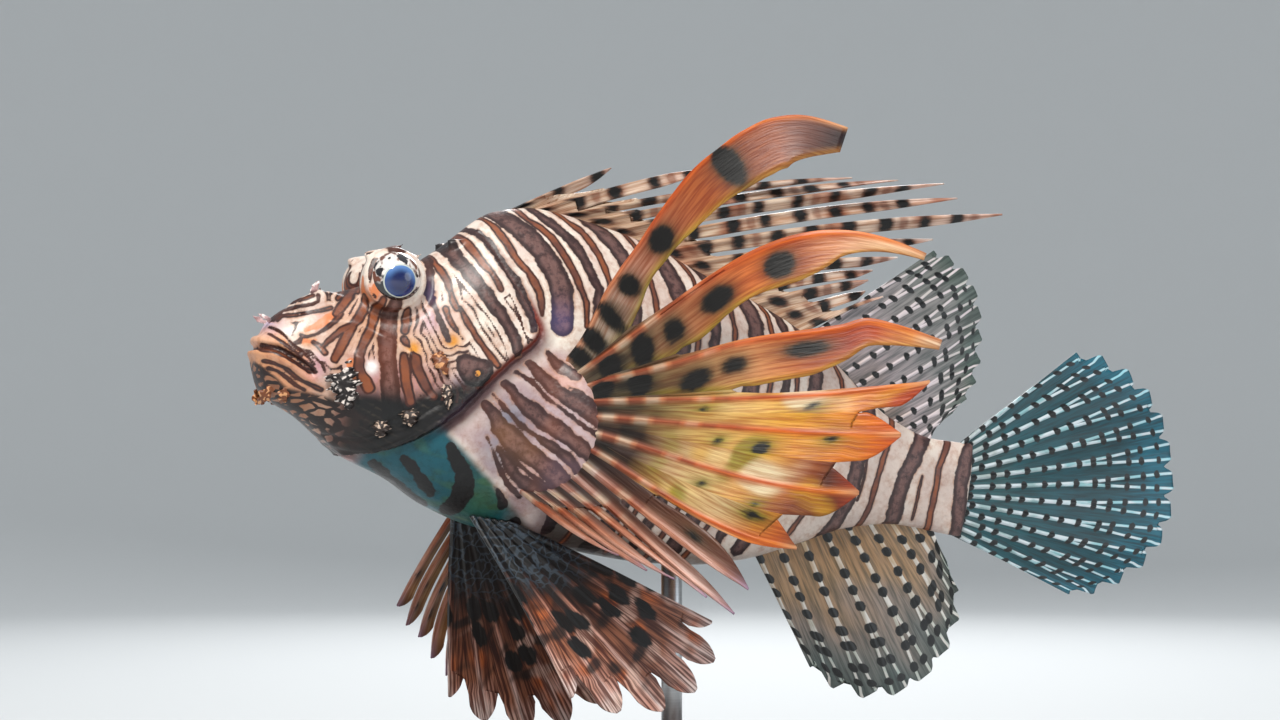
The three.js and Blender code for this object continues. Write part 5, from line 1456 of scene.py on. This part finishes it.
def pectoral_values(side):
    """Colour and marks of one pectoral fin, for each corner."""
    built = pectorals[side]
    corner = built[2]
    v, across, leaf, half = (corner[key] for key in ("v", "across", "leaf", "half"))
    lower = TAN_BASE if side == RIGHT else LOWER_BASE
    tint = ramp(v, lower)
    for i, stops in FEATHER_BASE.items():
        mine = leaf == i
        tint[mine] = ramp(v[mine], stops)
    place = corner_points(built)
    webbed = (leaf > 2.5) & (leaf < 6.5)
    gold = webbed * fade(waves(place, 17, 11), 0.1, 0.9) * fade(v, 0.25, 0.5)
    tint = blend(tint, (242, 186, 44), gold * 0.85)
    green = webbed * fade(waves(place, 13, 12), 0.35, 1.0) * fade(v, 0.2, 0.4) * fade(v, 0.8, 0.6)
    tint = blend(tint, (160, 150, 40), green * 0.8)
    edge = bump(half - across, 1.5) * (leaf < 2.5) * fade(v, 0.1, 0.2)
    tint = blend(tint, ramp(v, EDGE_STOPS), edge * 0.85)
    marks = marks_on(corner, FEATHER_MARKS)
    if side == RIGHT:
        marks = np.minimum(marks, marks_on(corner, lower_marks(np.random.default_rng(5 + side))))
    halo = np.exp(-np.maximum(marks + 0.4, 0) / np.where(webbed, 2.4, 1.7)) * (marks < 6)
    halo_tint = np.where(webbed[:, None], colour(140, 132, 22), colour(70, 58, 34))
    tint = tint + (halo_tint - tint) * (0.92 * halo)[:, None]
    rootward = fade(v, 0.34, 0.12) * (leaf > 0.5) * (leaf < 6.5) * fade(waves(place, 9, 14), -0.5, 0.6)
    tint = blend(tint, (24, 22, 16), 0.8 * rootward)
    bright = webbed * fade(waves(place, 15, 15), 0.3, 1.0) * fade(v, 0.3, 0.45) * fade(v, 0.85, 0.7)
    tint = blend(tint, (255, 244, 206), bright * 0.9)
    on_ray = np.exp(-(across / np.where(leaf < 6.5, 1.15, 1.5)) ** 2)
    ray_tint = ramp(v, RAY_STOPS)
    low_ray = leaf > 6.5
    ray_tint[low_ray] = ramp(v[low_ray], LOWER_RAY)
    beat = 0.5 + 0.5 * np.sin(corner["mm"] / 2.3 + leaf * 2.1 + 0.8 * np.sin(corner["mm"] / 5 + leaf))
    bands = fade(beat, 0.45, 0.7) * fade(v, 0.62, 0.35) * (leaf > 0.5)
    ray_tint = blend(ray_tint, (178, 80, 44), bands * np.where(low_ray, 0.55, 0.8))
    pale = fade(beat, 0.4, 0.1) * fade(v, 0.5, 0.2) * (leaf > 0.5)
    ray_tint = blend(ray_tint, (248, 224, 196), pale * 0.8)
    tint = tint + (ray_tint - tint) * (on_ray * 0.95)[:, None]
    trailing = bump(across + 1.6, 1.4) * (leaf < 3) * fade(v, 0.3, 0.6) * fade(v, 1.02, 0.9)
    tint = blend(tint, (238, 128, 36), trailing * 0.7)
    core = np.where((on_ray > 0.5) & (leaf > 0.5), marks + 2.0, marks)
    return {"tint": tint, "spot": core, "leaf_id": leaf}


banded, tree, shader = new_material("banded fin", rough=0.42, coat=0.15, coat_rough=0.25)
grain = streaks(tree, 0.8, 14)
shaded = stained(tree, paint(tree, "tint"), colour(208, 176, 156))
tint_now = mix(tree, ease(tree, grain, 0.3, 0.7), shaded, paint(tree, "tint"))
light_streak = calc(tree, "MULTIPLY", ease(tree, streaks(tree, 0.5, 22), 0.62, 0.76), 0.3)
tint_now = mix(tree, light_streak, tint_now, stained(tree, tint_now, colour(150, 120, 90), "SCREEN"))
spot_at = wander(tree, read(tree, "spot"), streaks(tree, 0.9, 3.0), 2.6)
tint_now = mix(tree, ease(tree, spot_at, 0.6, -1.3), tint_now, colour(14, 11, 9))
wire(tree, tint_now, shader.inputs["Base Color"])
wire(tree, raised(tree, streaks(tree, 0.7, 9), 0.25, 0.8), shader.inputs["Normal"])
glow = tree.nodes.new("ShaderNodeBsdfTranslucent")
wire(tree, tint_now, glow.inputs["Color"])
both = tree.nodes.new("ShaderNodeMixShader")
both.inputs[0].default_value = 0.28
tree.links.new(shader.outputs[0], both.inputs[1])
tree.links.new(glow.outputs[0], both.inputs[2])
tree.links.new(both.outputs[0], tree.nodes["Material Output"].inputs["Surface"])
for side, name in ((LEFT, "left"), (RIGHT, "right")):
    fin_object(f"pectoral_fin_{name}", pectorals[side], banded, "fin_banded", **pectoral_values(side))
print("feather marks", len(FEATHER_MARKS))

# %% Colours of the dorsal spines
SPINE_STOPS = [[0, 206, 170, 140], [0.2, 242, 222, 196], [0.75, 248, 228, 210], [0.95, 250, 220, 206],
               [1, 255, 250, 244]]
corner = spines[2]
tint = ramp(corner["v"], SPINE_STOPS)
tint = blend(tint, (190, 112, 70), fade(waves(corner_points(spines), 15, 21), 0.3, 1.0) * 0.7)
rng = np.random.default_rng(31)
spine_marks = []
for i, length in enumerate(SPINE_LENGTH):
    place = 7 + rng.uniform(0, 5)
    while place < length * 0.93:
        spine_marks.append((i, place, rng.uniform(0.6, 1.6), rng.uniform(4.0, 6.0), rng.uniform(5.0, 7.5)))
        place += rng.uniform(12.0, 15.0)
marks = marks_on(corner, spine_marks)
tint = blend(tint, (120, 66, 40), np.exp(-np.maximum(marks, 0) / 0.8) * 0.8)
half_way = [(i, at + 6.6, side_step, 2.6, 4.5) for i, at, side_step, _, _ in spine_marks[::2]]
tint = blend(tint, (150, 84, 52), np.exp(-np.maximum(marks_on(corner, half_way), 0) / 0.7) * 0.7)
fin_object("dorsal_fin_spines", spines, banded, "fin_banded", tint=tint, spot=marks, leaf_id=corner["leaf"])
print("bands on the spines", len(spine_marks))

# %% Colours of the belly fins
dark_fin, tree, shader = new_material("dark fin", rough=0.4, coat=0.1)
grain = ease(tree, streaks(tree, 0.75, 16), 0.38, 0.66)
shaded = stained(tree, paint(tree, "tint"), colour(120, 92, 84))
base = mix(tree, grain, shaded, paint(tree, "tint"))
spot_at = wander(tree, read(tree, "spot"), streaks(tree, 1.4, 4.0), 3.0)
base = mix(tree, ease(tree, spot_at, 0.5, -0.6), base, colour(12, 10, 11))
worms = ease(tree, cells(tree, 3.6, "DISTANCE_TO_EDGE", (1, 1, 1), 1.2), 0.1, 0.03)
base = mix(tree, calc(tree, "MULTIPLY", worms, read(tree, "fleck")), base, colour(52, 62, 72))
wire(tree, base, shader.inputs["Base Color"])
wire(tree, raised(tree, streaks(tree, 0.8, 10), 0.3, 0.8), shader.inputs["Normal"])
PELVIC_STOPS = [[0, 12, 10, 12], [0.3, 18, 13, 14], [0.44, 60, 34, 26], [0.6, 128, 74, 50],
                [0.78, 176, 112, 82], [0.92, 222, 172, 156], [1, 244, 220, 212]]
PELVIC_RAY_STOPS = [[0, 30, 24, 26], [0.3, 96, 60, 50], [0.5, 214, 150, 126], [1, 250, 226, 218]]
for side, name in ((LEFT, "left"), (RIGHT, "right")):
    corner = pelvics[side][2]
    v = corner["v"]
    place = corner_points(pelvics[side])
    tint = ramp(v + 0.1 * waves(place, 20, 41), PELVIC_STOPS)
    rust = fade(waves(place, 12, 42), 0.2, 0.9) * fade(v, 0.35, 0.6) * fade(v, 1, 0.85)
    tint = blend(tint, (206, 110, 56), rust)
    tint = blend(tint, ramp(v, PELVIC_RAY_STOPS), bump(corner["across"], 0.9) * fade(v, 0.2, 0.5))
    tint = blend(tint, (20, 14, 14), 0.85 * fade(waves(place, 9, 43), 0.35, 0.9) * fade(v, 0.95, 0.8))
    tint = blend(tint, (236, 196, 178), 0.8 * fade(waves(place, 10, 44), 0.4, 1.0) * fade(v, 0.4, 0.6))
    rng = np.random.default_rng(50 + side)
    ovals = []
    for i in range(6):
        for reach in (0.42, 0.56, 0.68):
            if rng.random() < 0.7:
                along_ray = PELVIC_LENGTH[i] * (reach + rng.uniform(-0.03, 0.03))
                ovals.append((i, along_ray, rng.uniform(-3, 3), 9, 6.5))
    fin_object(f"pelvic_fin_{name}", pelvics[side], dark_fin, "fin_dark", tint=tint,
               spot=marks_on(corner, ovals), leaf_id=corner["leaf"], fleck=fade(v, 0.42, 0.3))
print("belly fins in place")

# %% Colours of the soft fans
def soft_material(name, ray_half, white):
    """Smoky membrane with pale forked rays and black dots on them."""
    look, tree, shader = new_material(name, rough=0.34, coat=0.1)
    off = calc(tree, "ABSOLUTE", read(tree, "off"))
    half = ease(tree, read(tree, "v"), 0.35, 0.8, ray_half, ray_half * 0.62)
    on_ray = ease(tree, calc(tree, "SUBTRACT", off, half), 0.22, -0.12)
    membrane = mix(tree, ease(tree, streaks(tree, 0.9, 12), 0.3, 0.75), paint(tree, "tint"),
                   stained(tree, paint(tree, "tint"), colour(150, 160, 160)))
    ray = mix(tree, ease(tree, streaks(tree, 2.0, 7), 0.35, 0.65), paint(tree, "ray_tint"), white)
    base = mix(tree, on_ray, membrane, ray)
    spot_at = wander(tree, read(tree, "spot"), streaks(tree, 1.2, 1.2), 0.8)
    base = mix(tree, ease(tree, spot_at, 0.2, -0.2), base, colour(10, 11, 12))
    wire(tree, base, shader.inputs["Base Color"])
    wire(tree, raised(tree, streaks(tree, 0.8, 10), 0.15, 0.6), shader.inputs["Normal"])
    clear = calc(tree, "MAXIMUM", on_ray, ease(tree, spot_at, 0.2, -0.2))
    wire(tree, ease(tree, clear, 0.0, 1.0, 0.86, 1.0), shader.inputs["Alpha"])
    return look


def soft_values(built, pitch, spot_long, spot_wide, membrane_stops, ray_stops, seed):
    """Colours and dots of a soft fan: the dots follow each ray at an even pitch, with some play."""
    corner = built[2]
    rng = np.random.default_rng(seed)
    count = int(corner["leaf"].max()) + 1
    start = rng.uniform(0, pitch, count)[corner["leaf"].astype(int)]
    wobble = 0.12 * pitch * np.sin(corner["leaf"] * 5 + np.round((corner["mm"] - start) / pitch) * 2.3)
    beat = corner["mm"] - start - wobble
    gap = beat - np.round(beat / pitch) * pitch
    spot = (np.hypot(gap / spot_long, corner["off"] / spot_wide) * 2 - 1) * spot_long / 2
    spot = spot + 3 * fade(corner["v"], 0.94, 0.99)
    place = corner_points(built)
    late = corner["v"] + 0.12 * waves(place, 18, seed + 1)
    return {"spot": spot, "tint": ramp(late, membrane_stops), "ray_tint": ramp(late, ray_stops),
            "leaf_id": corner["leaf"]}


SOFT_LOOKS = {
    "tail_fin": ("tail fin", 0.7, (206, 216, 222), {
        "pitch": 7.3, "spot_long": 2.6, "spot_wide": 3.2, "seed": 61,
        "membrane_stops": [[0, 44, 92, 94], [0.3, 2, 82, 92], [0.7, 0, 72, 84], [1, 0, 104, 126]],
        "ray_stops": [[0, 170, 176, 174], [0.4, 132, 172, 176], [1, 150, 206, 218]]}),
    "dorsal_fin_soft": ("soft dorsal fin", 0.6, (214, 202, 206), {
        "pitch": 6.4, "spot_long": 2.3, "spot_wide": 3.0, "seed": 62,
        "membrane_stops": [[0, 152, 132, 122], [0.3, 170, 156, 158], [0.6, 154, 148, 148],
                           [0.85, 110, 118, 112], [1, 82, 98, 92]],
        "ray_stops": [[0, 212, 190, 176], [0.4, 206, 192, 194], [1, 188, 188, 182]]}),
    "anal_fin": ("anal fin", 0.78, (220, 216, 210), {
        "pitch": 7.0, "spot_long": 3.9, "spot_wide": 3.7, "seed": 63,
        "membrane_stops": [[0, 176, 130, 82], [0.35, 178, 142, 104], [0.6, 160, 140, 126],
                           [0.85, 118, 118, 112], [1, 80, 94, 90]],
        "ray_stops": [[0, 206, 176, 134], [0.4, 190, 176, 160], [1, 176, 190, 182]]}),
}
for name, (title, ray_half, white, values) in SOFT_LOOKS.items():
    soft_look = soft_material(title, ray_half, colour(*white))
    fin_object(name, soft_built[name], soft_look, "fin_clear", **soft_values(soft_built[name], **values))
print("soft fans in place")

# %% [markdown]
# ## Eyes
# The eye is a ball set in a raised ring of skin. It has a deep blue pupil, painted lighter blue towards the top
# of its rim as a painted reflection, with a bright thin ring and a mottled iris. A separate glass cornea could
# cover it, but a smooth clear coat over the paint gives the same wet highlight from one closed ball.

# %% Eyes
PUPIL_WAY = unit(np.array([0.05, 1.0, -0.17]))


def eyeball(side, name, rings=72, sides=96):
    """One eye, with the distance from the pupil's middle stored for the paint."""
    way = PUPIL_WAY * np.array([1, side, 1])
    across = unit(np.cross(way, [0, 0, 1.0]))
    up = np.cross(across, way)
    angle = np.linspace(0.001, math.pi - 0.001, rings)[:, None]
    turn = np.linspace(0, 2 * math.pi, sides, endpoint=False)[None, :]
    bulge = 1 + 0.05 * bump(angle, 0.62)
    ball = (np.cos(angle)[..., None] * way + (np.sin(angle) * np.cos(turn))[..., None] * across
            + (np.sin(angle) * np.sin(turn))[..., None] * up) * bulge[..., None]
    centre = np.array([EYE["x"], side * EYE["y"], EYE["z"]])
    points = (centre + ball * EYE["radius"] * np.array([1, 0.92, 1])).reshape(-1, 3)
    reach = (angle * EYE["radius"] + 0 * turn).reshape(-1)
    made = add_mesh(name, to_world(points), grid_faces(rings, sides), point_values={
        "reach": reach, "turn": np.broadcast_to(np.sin(turn), (rings, sides)).reshape(-1)})
    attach(made, "root")
    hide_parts(name)
    return made


eye_look, tree, shader = new_material("eye", rough=0.14, coat=1.0, coat_rough=0.02, shine=0.6)
reach = wander(tree, read(tree, "reach"), spots(tree, 4.0), 0.5)
height = wander(tree, read(tree, "turn"), spots(tree, 5.0), 0.8)
# Painted reflection: the pupil's blue is lighter towards the top of its rim.
rim = mix(tree, ease(tree, read(tree, "turn"), -0.3, 0.7), colour(10, 56, 124), colour(92, 134, 194))
pupil = mix(tree, ease(tree, read(tree, "reach"), 2.2, 5.0), colour(4, 24, 84), rim)
blotch = mix(tree, ease(tree, spots(tree, 3.6, 2.0), 0.5, 0.56), colour(240, 232, 226), colour(30, 24, 30))
blotch = mix(tree, ease(tree, spots(tree, 5.0, 2.0, (1.3, 1, 0.8)), 0.56, 0.64), blotch, colour(112, 58, 36))
iris = mix(tree, ease(tree, height, -0.15, -0.45), blotch, colour(12, 11, 16))
eye_now = mix(tree, ease(tree, reach, 5.55, 5.8), colour(206, 214, 206), iris)
eye_now = mix(tree, ease(tree, reach, 5.3, 5.1), eye_now, pupil)
wire(tree, eye_now, shader.inputs["Base Color"])
for side, name in ((LEFT, "eye_left"), (RIGHT, "eye_right")):
    eyeball(side, name).data.materials.append(eye_look)
print("eyes in place")

# %% [markdown]
# ## The stand
# A museum model stands on a plain board of stained wood, and a brushed steel collar holds a thin steel rod
# that enters the belly. Boxes and cylinders with bevels would do, but rings worked out from a profile give
# the rounded edges at once.

# %% Outlines and finishes of the stand
BOARD = {"half_long": 95.0, "half_wide": 56.0, "high": 12.0, "corner": 26.0, "round": 1.6}
ROD = {"x": 11.31, "y": 0.17, "radius": 3.5, "low": 18.6, "high": 82.7, "round": 0.3}
COLLAR = {"low": 12.3, "high": 18.3}


def board_ring(inset, height, steps=16):
    """The board's rounded outline, drawn in by an inset."""
    points = []
    corner = BOARD["corner"] - inset
    straight = np.array([BOARD["half_long"] - BOARD["corner"], BOARD["half_wide"] - BOARD["corner"]])
    for k, quarter in enumerate([(1, 1), (-1, 1), (-1, -1), (1, -1)]):
        middle = straight * quarter
        for turn in np.linspace(0, math.pi / 2, steps) + k * math.pi / 2:
            points.append([*(middle + corner * np.array([math.cos(turn), math.sin(turn)])), height])
    return points


def stand_piece(name, points, rings, look, sides=64):
    """One part of the stand from its rings, in place of the CAD solid of that name."""
    points, faces, caps = close_rings(np.array(points, float), rings, sides)
    made = add_mesh(name, points / 1000, faces, caps=caps)
    made.data.materials.append(look)
    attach(made, "root")
    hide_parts(name)


def turned(profile, sides=64):
    """A turned part on the rod's axis from [radius, height] pairs."""
    turn = np.linspace(0, 2 * math.pi, sides, endpoint=False)
    return [[ROD["x"] + r * math.cos(t), ROD["y"] + r * math.sin(t), z] for r, z in profile for t in turn]


wood, tree, shader = new_material("stained wood", rough=0.38, coat=0.35, coat_rough=0.18)
along_grain = placed(tree, (9, 95, 60))
grain = noise(tree, along_grain, 1.0, 6.0)
pores = noise(tree, along_grain, 6.0)
wood_now = mix(tree, ease(tree, grain, 0.32, 0.68), colour(38, 22, 15), colour(88, 54, 36))
wood_now = mix(tree, ease(tree, pores, 0.6, 0.7), wood_now, colour(22, 13, 10))
wire(tree, wood_now, shader.inputs["Base Color"])
wire(tree, raised(tree, pores, 0.1, 0.4), shader.inputs["Normal"])

steel, tree, shader = new_material("brushed steel", rough=0.3, metal=1.0)
brushed = noise(tree, placed(tree, (40, 40, 5200)), 1.0, 3.0)
steel_now = mix(tree, ease(tree, brushed, 0.2, 0.8), colour(176, 178, 180), colour(198, 200, 202))
wire(tree, steel_now, shader.inputs["Base Color"])
wire(tree, ease(tree, brushed, 0.2, 0.8, 0.3, 0.36), shader.inputs["Roughness"])
print("wood and steel ready")

# %% Board, collar and rod
levels = [(0.8, 0.0), (0.2, 0.2), (0.0, 0.8)]
levels += [(BOARD["round"] * (1 - math.cos(a)), BOARD["high"] - BOARD["round"] * (1 - math.sin(a)))
           for a in np.linspace(0, math.pi / 2, 7)]
rings = [point for inset, height in levels for point in board_ring(inset, height)]
stand_piece("stand_base", rings, len(levels), wood)
low, high = COLLAR["low"], COLLAR["high"]
collar = [(7.4, low), (8, low + 0.5), (7.9, low + 1.6), (6.7, high - 0.9), (6.1, high - 0.2), (5.6, high)]
stand_piece("stand_collar", turned(collar), len(collar), steel)
end = ROD["radius"] - ROD["round"]
rod = [(end, ROD["low"]), (ROD["radius"], ROD["low"] + ROD["round"]),
       (ROD["radius"], ROD["high"] - ROD["round"]), (end, ROD["high"])]
stand_piece("stand_rod", turned(rod), len(rod), steel)
print("stand in place")

# %% [markdown]
# ## Skin flaps of the face
# Ragged flaps of skin hang from the jaw and the cheek and stand on the snout. They could be drawn out of the
# skin itself, but its remesh is too coarse for such thin edges. Each is its own flat blade with lobed,
# ruffled edges, rooted in the skin.

# %% Skin flaps
FLAPS = [
    ((23.6, 3.6), (29.6, -11.5), 9.5, 4.5, 0),
    ((40.0, -12.5), (40.6, -18.5), 5.2, 2.5, 1),
    ((47.4, -8.0), (48.6, -13.8), 5.4, 2.5, 1),
    ((57.4, 1.8), (58.8, -6.8), 3.0, 3.5, 1),
    ((52.6, 10.8), (56.8, 4.2), 4.6, 2.5, 2),
    ((6.2, -7.6), (3.8, -13.6), 3.6, 2.5, 2),
    ((10.0, -7.2), (10.0, -12.4), 3.2, 2.5, 2),
    ((15.6, 23.6), (16.4, 28.6), 2.0, 1.5, 3),
    ((3.0, 12.6), (-1.6, 14.2), 1.6, 1.5, 3),
]
FLAP_TINTS = [((30, 22, 22), (226, 214, 206)), ((46, 34, 30), (206, 180, 160)),
              ((120, 66, 36), (222, 160, 110)), ((196, 160, 160), (250, 240, 236))]


def flap(side, root, tip, width, lobes, seed, rings=60, sides=40):
    """Points and faces of one ruffled blade. A tip ahead of the snout has no flank to start from."""
    s = np.linspace(0, 1, rings)[:, None]
    turn = np.linspace(0, 2 * math.pi, sides, endpoint=False)[None, :]
    if tip[0] < 0:
        start = np.array([root[0], side * 3.0, root[1]])
        end = np.array([tip[0], side * 4.5, tip[1]])
    else:
        start = on_skin(*root, side, -0.8)
        end = on_skin(*tip, side, 1.6)
    way = end - start
    out = unit(np.array([-0.15, side, 0.1]))
    out = unit(out - way * np.dot(out, way) / np.dot(way, way))
    across = np.cross(unit(way), out)
    edge = 0.5 * width * np.sin(math.pi * np.clip(0.06 + 0.94 * s, 0, 1) ** 0.8) ** 0.7
    u = np.cos(turn)
    beat = 2 * math.pi * lobes * s
    frill = 1 + 0.24 * np.sin(beat + seed) + 0.12 * np.sin(2.7 * beat + 2 * seed + np.sign(u))
    ruffle = 0.13 * width * u ** 2 * np.sin(1.6 * beat + seed + 1.5 * np.sign(u))
    lift = 1.6 * np.sin(math.pi * s) + ruffle
    points = (start + s[..., None] * way + (edge * frill * u)[..., None] * across
              + (0.45 * np.sin(turn) * (1 - 0.5 * s) + lift)[..., None] * out)
    return close_rings(points.reshape(-1, 3), rings, sides)


pieces = []
dark_tints = []
pale_tints = []
for side in (LEFT, RIGHT):
    for k, (root, tip, width, lobes, kind) in enumerate(FLAPS):
        points, faces, caps = flap(side, root, tip, width, lobes, 1.7 * k + side)
        pieces.append((points, faces, caps))
        dark_tint, pale_tint = FLAP_TINTS[kind]
        dark_tints.append(np.tile(colour(*dark_tint), (len(points), 1)))
        pale_tints.append(np.tile(colour(*pale_tint), (len(points), 1)))
starts = np.cumsum([0] + [len(piece[0]) for piece in pieces])
flaps = add_mesh("face_flaps", to_world(np.vstack([piece[0] for piece in pieces])),
                 np.vstack([piece[1] + first for piece, first in zip(pieces, starts)]),
                 point_values={"ink": np.vstack(dark_tints), "ground": np.vstack(pale_tints)},
                 caps=np.vstack([piece[2] + first for piece, first in zip(pieces, starts)]))
flap_look, tree, shader = new_material("skin flap", rough=0.5, coat=0.1, shine=0.45)
marks = cells(tree, 2.6, "DISTANCE_TO_EDGE", (1, 1, 1), 1.4)
flap_now = mix(tree, ease(tree, marks, 0.2, 0.1), paint(tree, "ground"), paint(tree, "ink"))
flap_now = mix(tree, ease(tree, spots(tree, 3.0, 2.0), 0.52, 0.6), flap_now, paint(tree, "ink"))
wire(tree, flap_now, shader.inputs["Base Color"])
wire(tree, raised(tree, spots(tree, 1.2, 3.0), 0.3, 0.7), shader.inputs["Normal"])
flaps.data.materials.append(flap_look)
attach(flaps, "root")
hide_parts("head")
print("skin flaps", len(pieces))

# %% [markdown]
# ## Camera, light and floor
# The photo was taken from the fish's left and a little below. The lamps of a studio stand in for sunlit
# water: a warm key from the front, a cool weak fill, and a rim from behind that parts the fins from the
# backdrop. A flat floor would end in a hard edge, so a round pale floor curves up into a wall on every side.

# %% Camera
TARGET = Vector((0, 0, 0.1503))
CAMERA_DISTANCE = 0.8
camera_data = bpy.data.cameras.new("camera")
camera = bpy.data.objects.new("camera", camera_data)
bpy.context.scene.collection.objects.link(camera)
yaw, pitch = math.radians(-20), math.radians(-3)
back = Vector((math.sin(yaw) * math.cos(pitch), -math.cos(yaw) * math.cos(pitch), math.sin(pitch)))
camera.location = TARGET + back * CAMERA_DISTANCE
camera.rotation_mode = "QUATERNION"
camera.rotation_quaternion = (-back).to_track_quat("-Z", "Y")
camera_data.sensor_width = 36
camera_data.lens = 67.36
camera_data.clip_start = 0.01
bpy.context.scene.camera = camera
print("camera stands at", [round(v, 3) for v in camera.location])


# %% Lamps and sky
def area_light(name, place, size, power, tint=(1, 1, 1)):
    """A round soft lamp that faces the fish."""
    data = bpy.data.lights.new(name, "AREA")
    data.energy = power
    data.color = tint
    data.shape = "DISK"
    data.size = size
    lamp = bpy.data.objects.new(name, data)
    lamp.location = place
    lamp.rotation_mode = "QUATERNION"
    lamp.rotation_quaternion = (Vector(place) - TARGET).to_track_quat("Z", "Y")
    bpy.context.scene.collection.objects.link(lamp)


area_light("key", (-0.5, -0.75, 1.2), 0.4, 18, (1, 0.97, 0.92))
area_light("fill", (0.9, -0.9, 0.35), 0.8, 2.2, (0.88, 0.94, 1))
area_light("rim", (0.45, 0.9, 0.8), 0.5, 9)
world = bpy.data.worlds.new("studio")
world.use_nodes = True
world.node_tree.nodes["Background"].inputs["Color"].default_value = (0.86, 0.91, 0.95, 1)
world.node_tree.nodes["Background"].inputs["Strength"].default_value = 0.55
bpy.context.scene.world = world
bpy.context.scene.view_settings.view_transform = "Standard"
print("three lamps and a pale sky")

# %% Floor
FLAT = 1.3
CURVE = 0.9
FLOOR_SIDES = 96
profile = [(FLAT, 0.0)]
bend = np.linspace(0.06, math.pi / 2, 24)
profile += [(FLAT + CURVE * math.sin(a), CURVE * (1 - math.cos(a))) for a in bend]
profile += [(FLAT + CURVE, 1.5), (FLAT + CURVE, 2.4)]
turn = np.linspace(0, 2 * math.pi, FLOOR_SIDES + 1)[:-1]
round_floor = [[(r * math.cos(t), r * math.sin(t), z) for t in turn] for r, z in profile]
floor_points = np.array([(0, 0, 0)] + [point for ring in round_floor for point in ring])
floor_faces = [(0, 1 + k, 1 + (k + 1) % FLOOR_SIDES) for k in range(FLOOR_SIDES)]
for level in range(len(round_floor) - 1):
    for k in range(FLOOR_SIDES):
        a = 1 + level * FLOOR_SIDES + k
        b = 1 + level * FLOOR_SIDES + (k + 1) % FLOOR_SIDES
        floor_faces.append((a, a + FLOOR_SIDES, b + FLOOR_SIDES, b))
floor_mesh = bpy.data.meshes.new("floor")
floor_mesh.from_pydata(floor_points.tolist(), [], floor_faces)
floor_mesh.shade_smooth()
floor = bpy.data.objects.new("floor", floor_mesh)
bpy.context.scene.collection.objects.link(floor)
floor_look, tree, shader = new_material("floor", rough=0.8)
wire(tree, colour(206, 209, 211), shader.inputs["Base Color"])
floor.data.materials.append(floor_look)
print("floor faces", len(floor_faces))
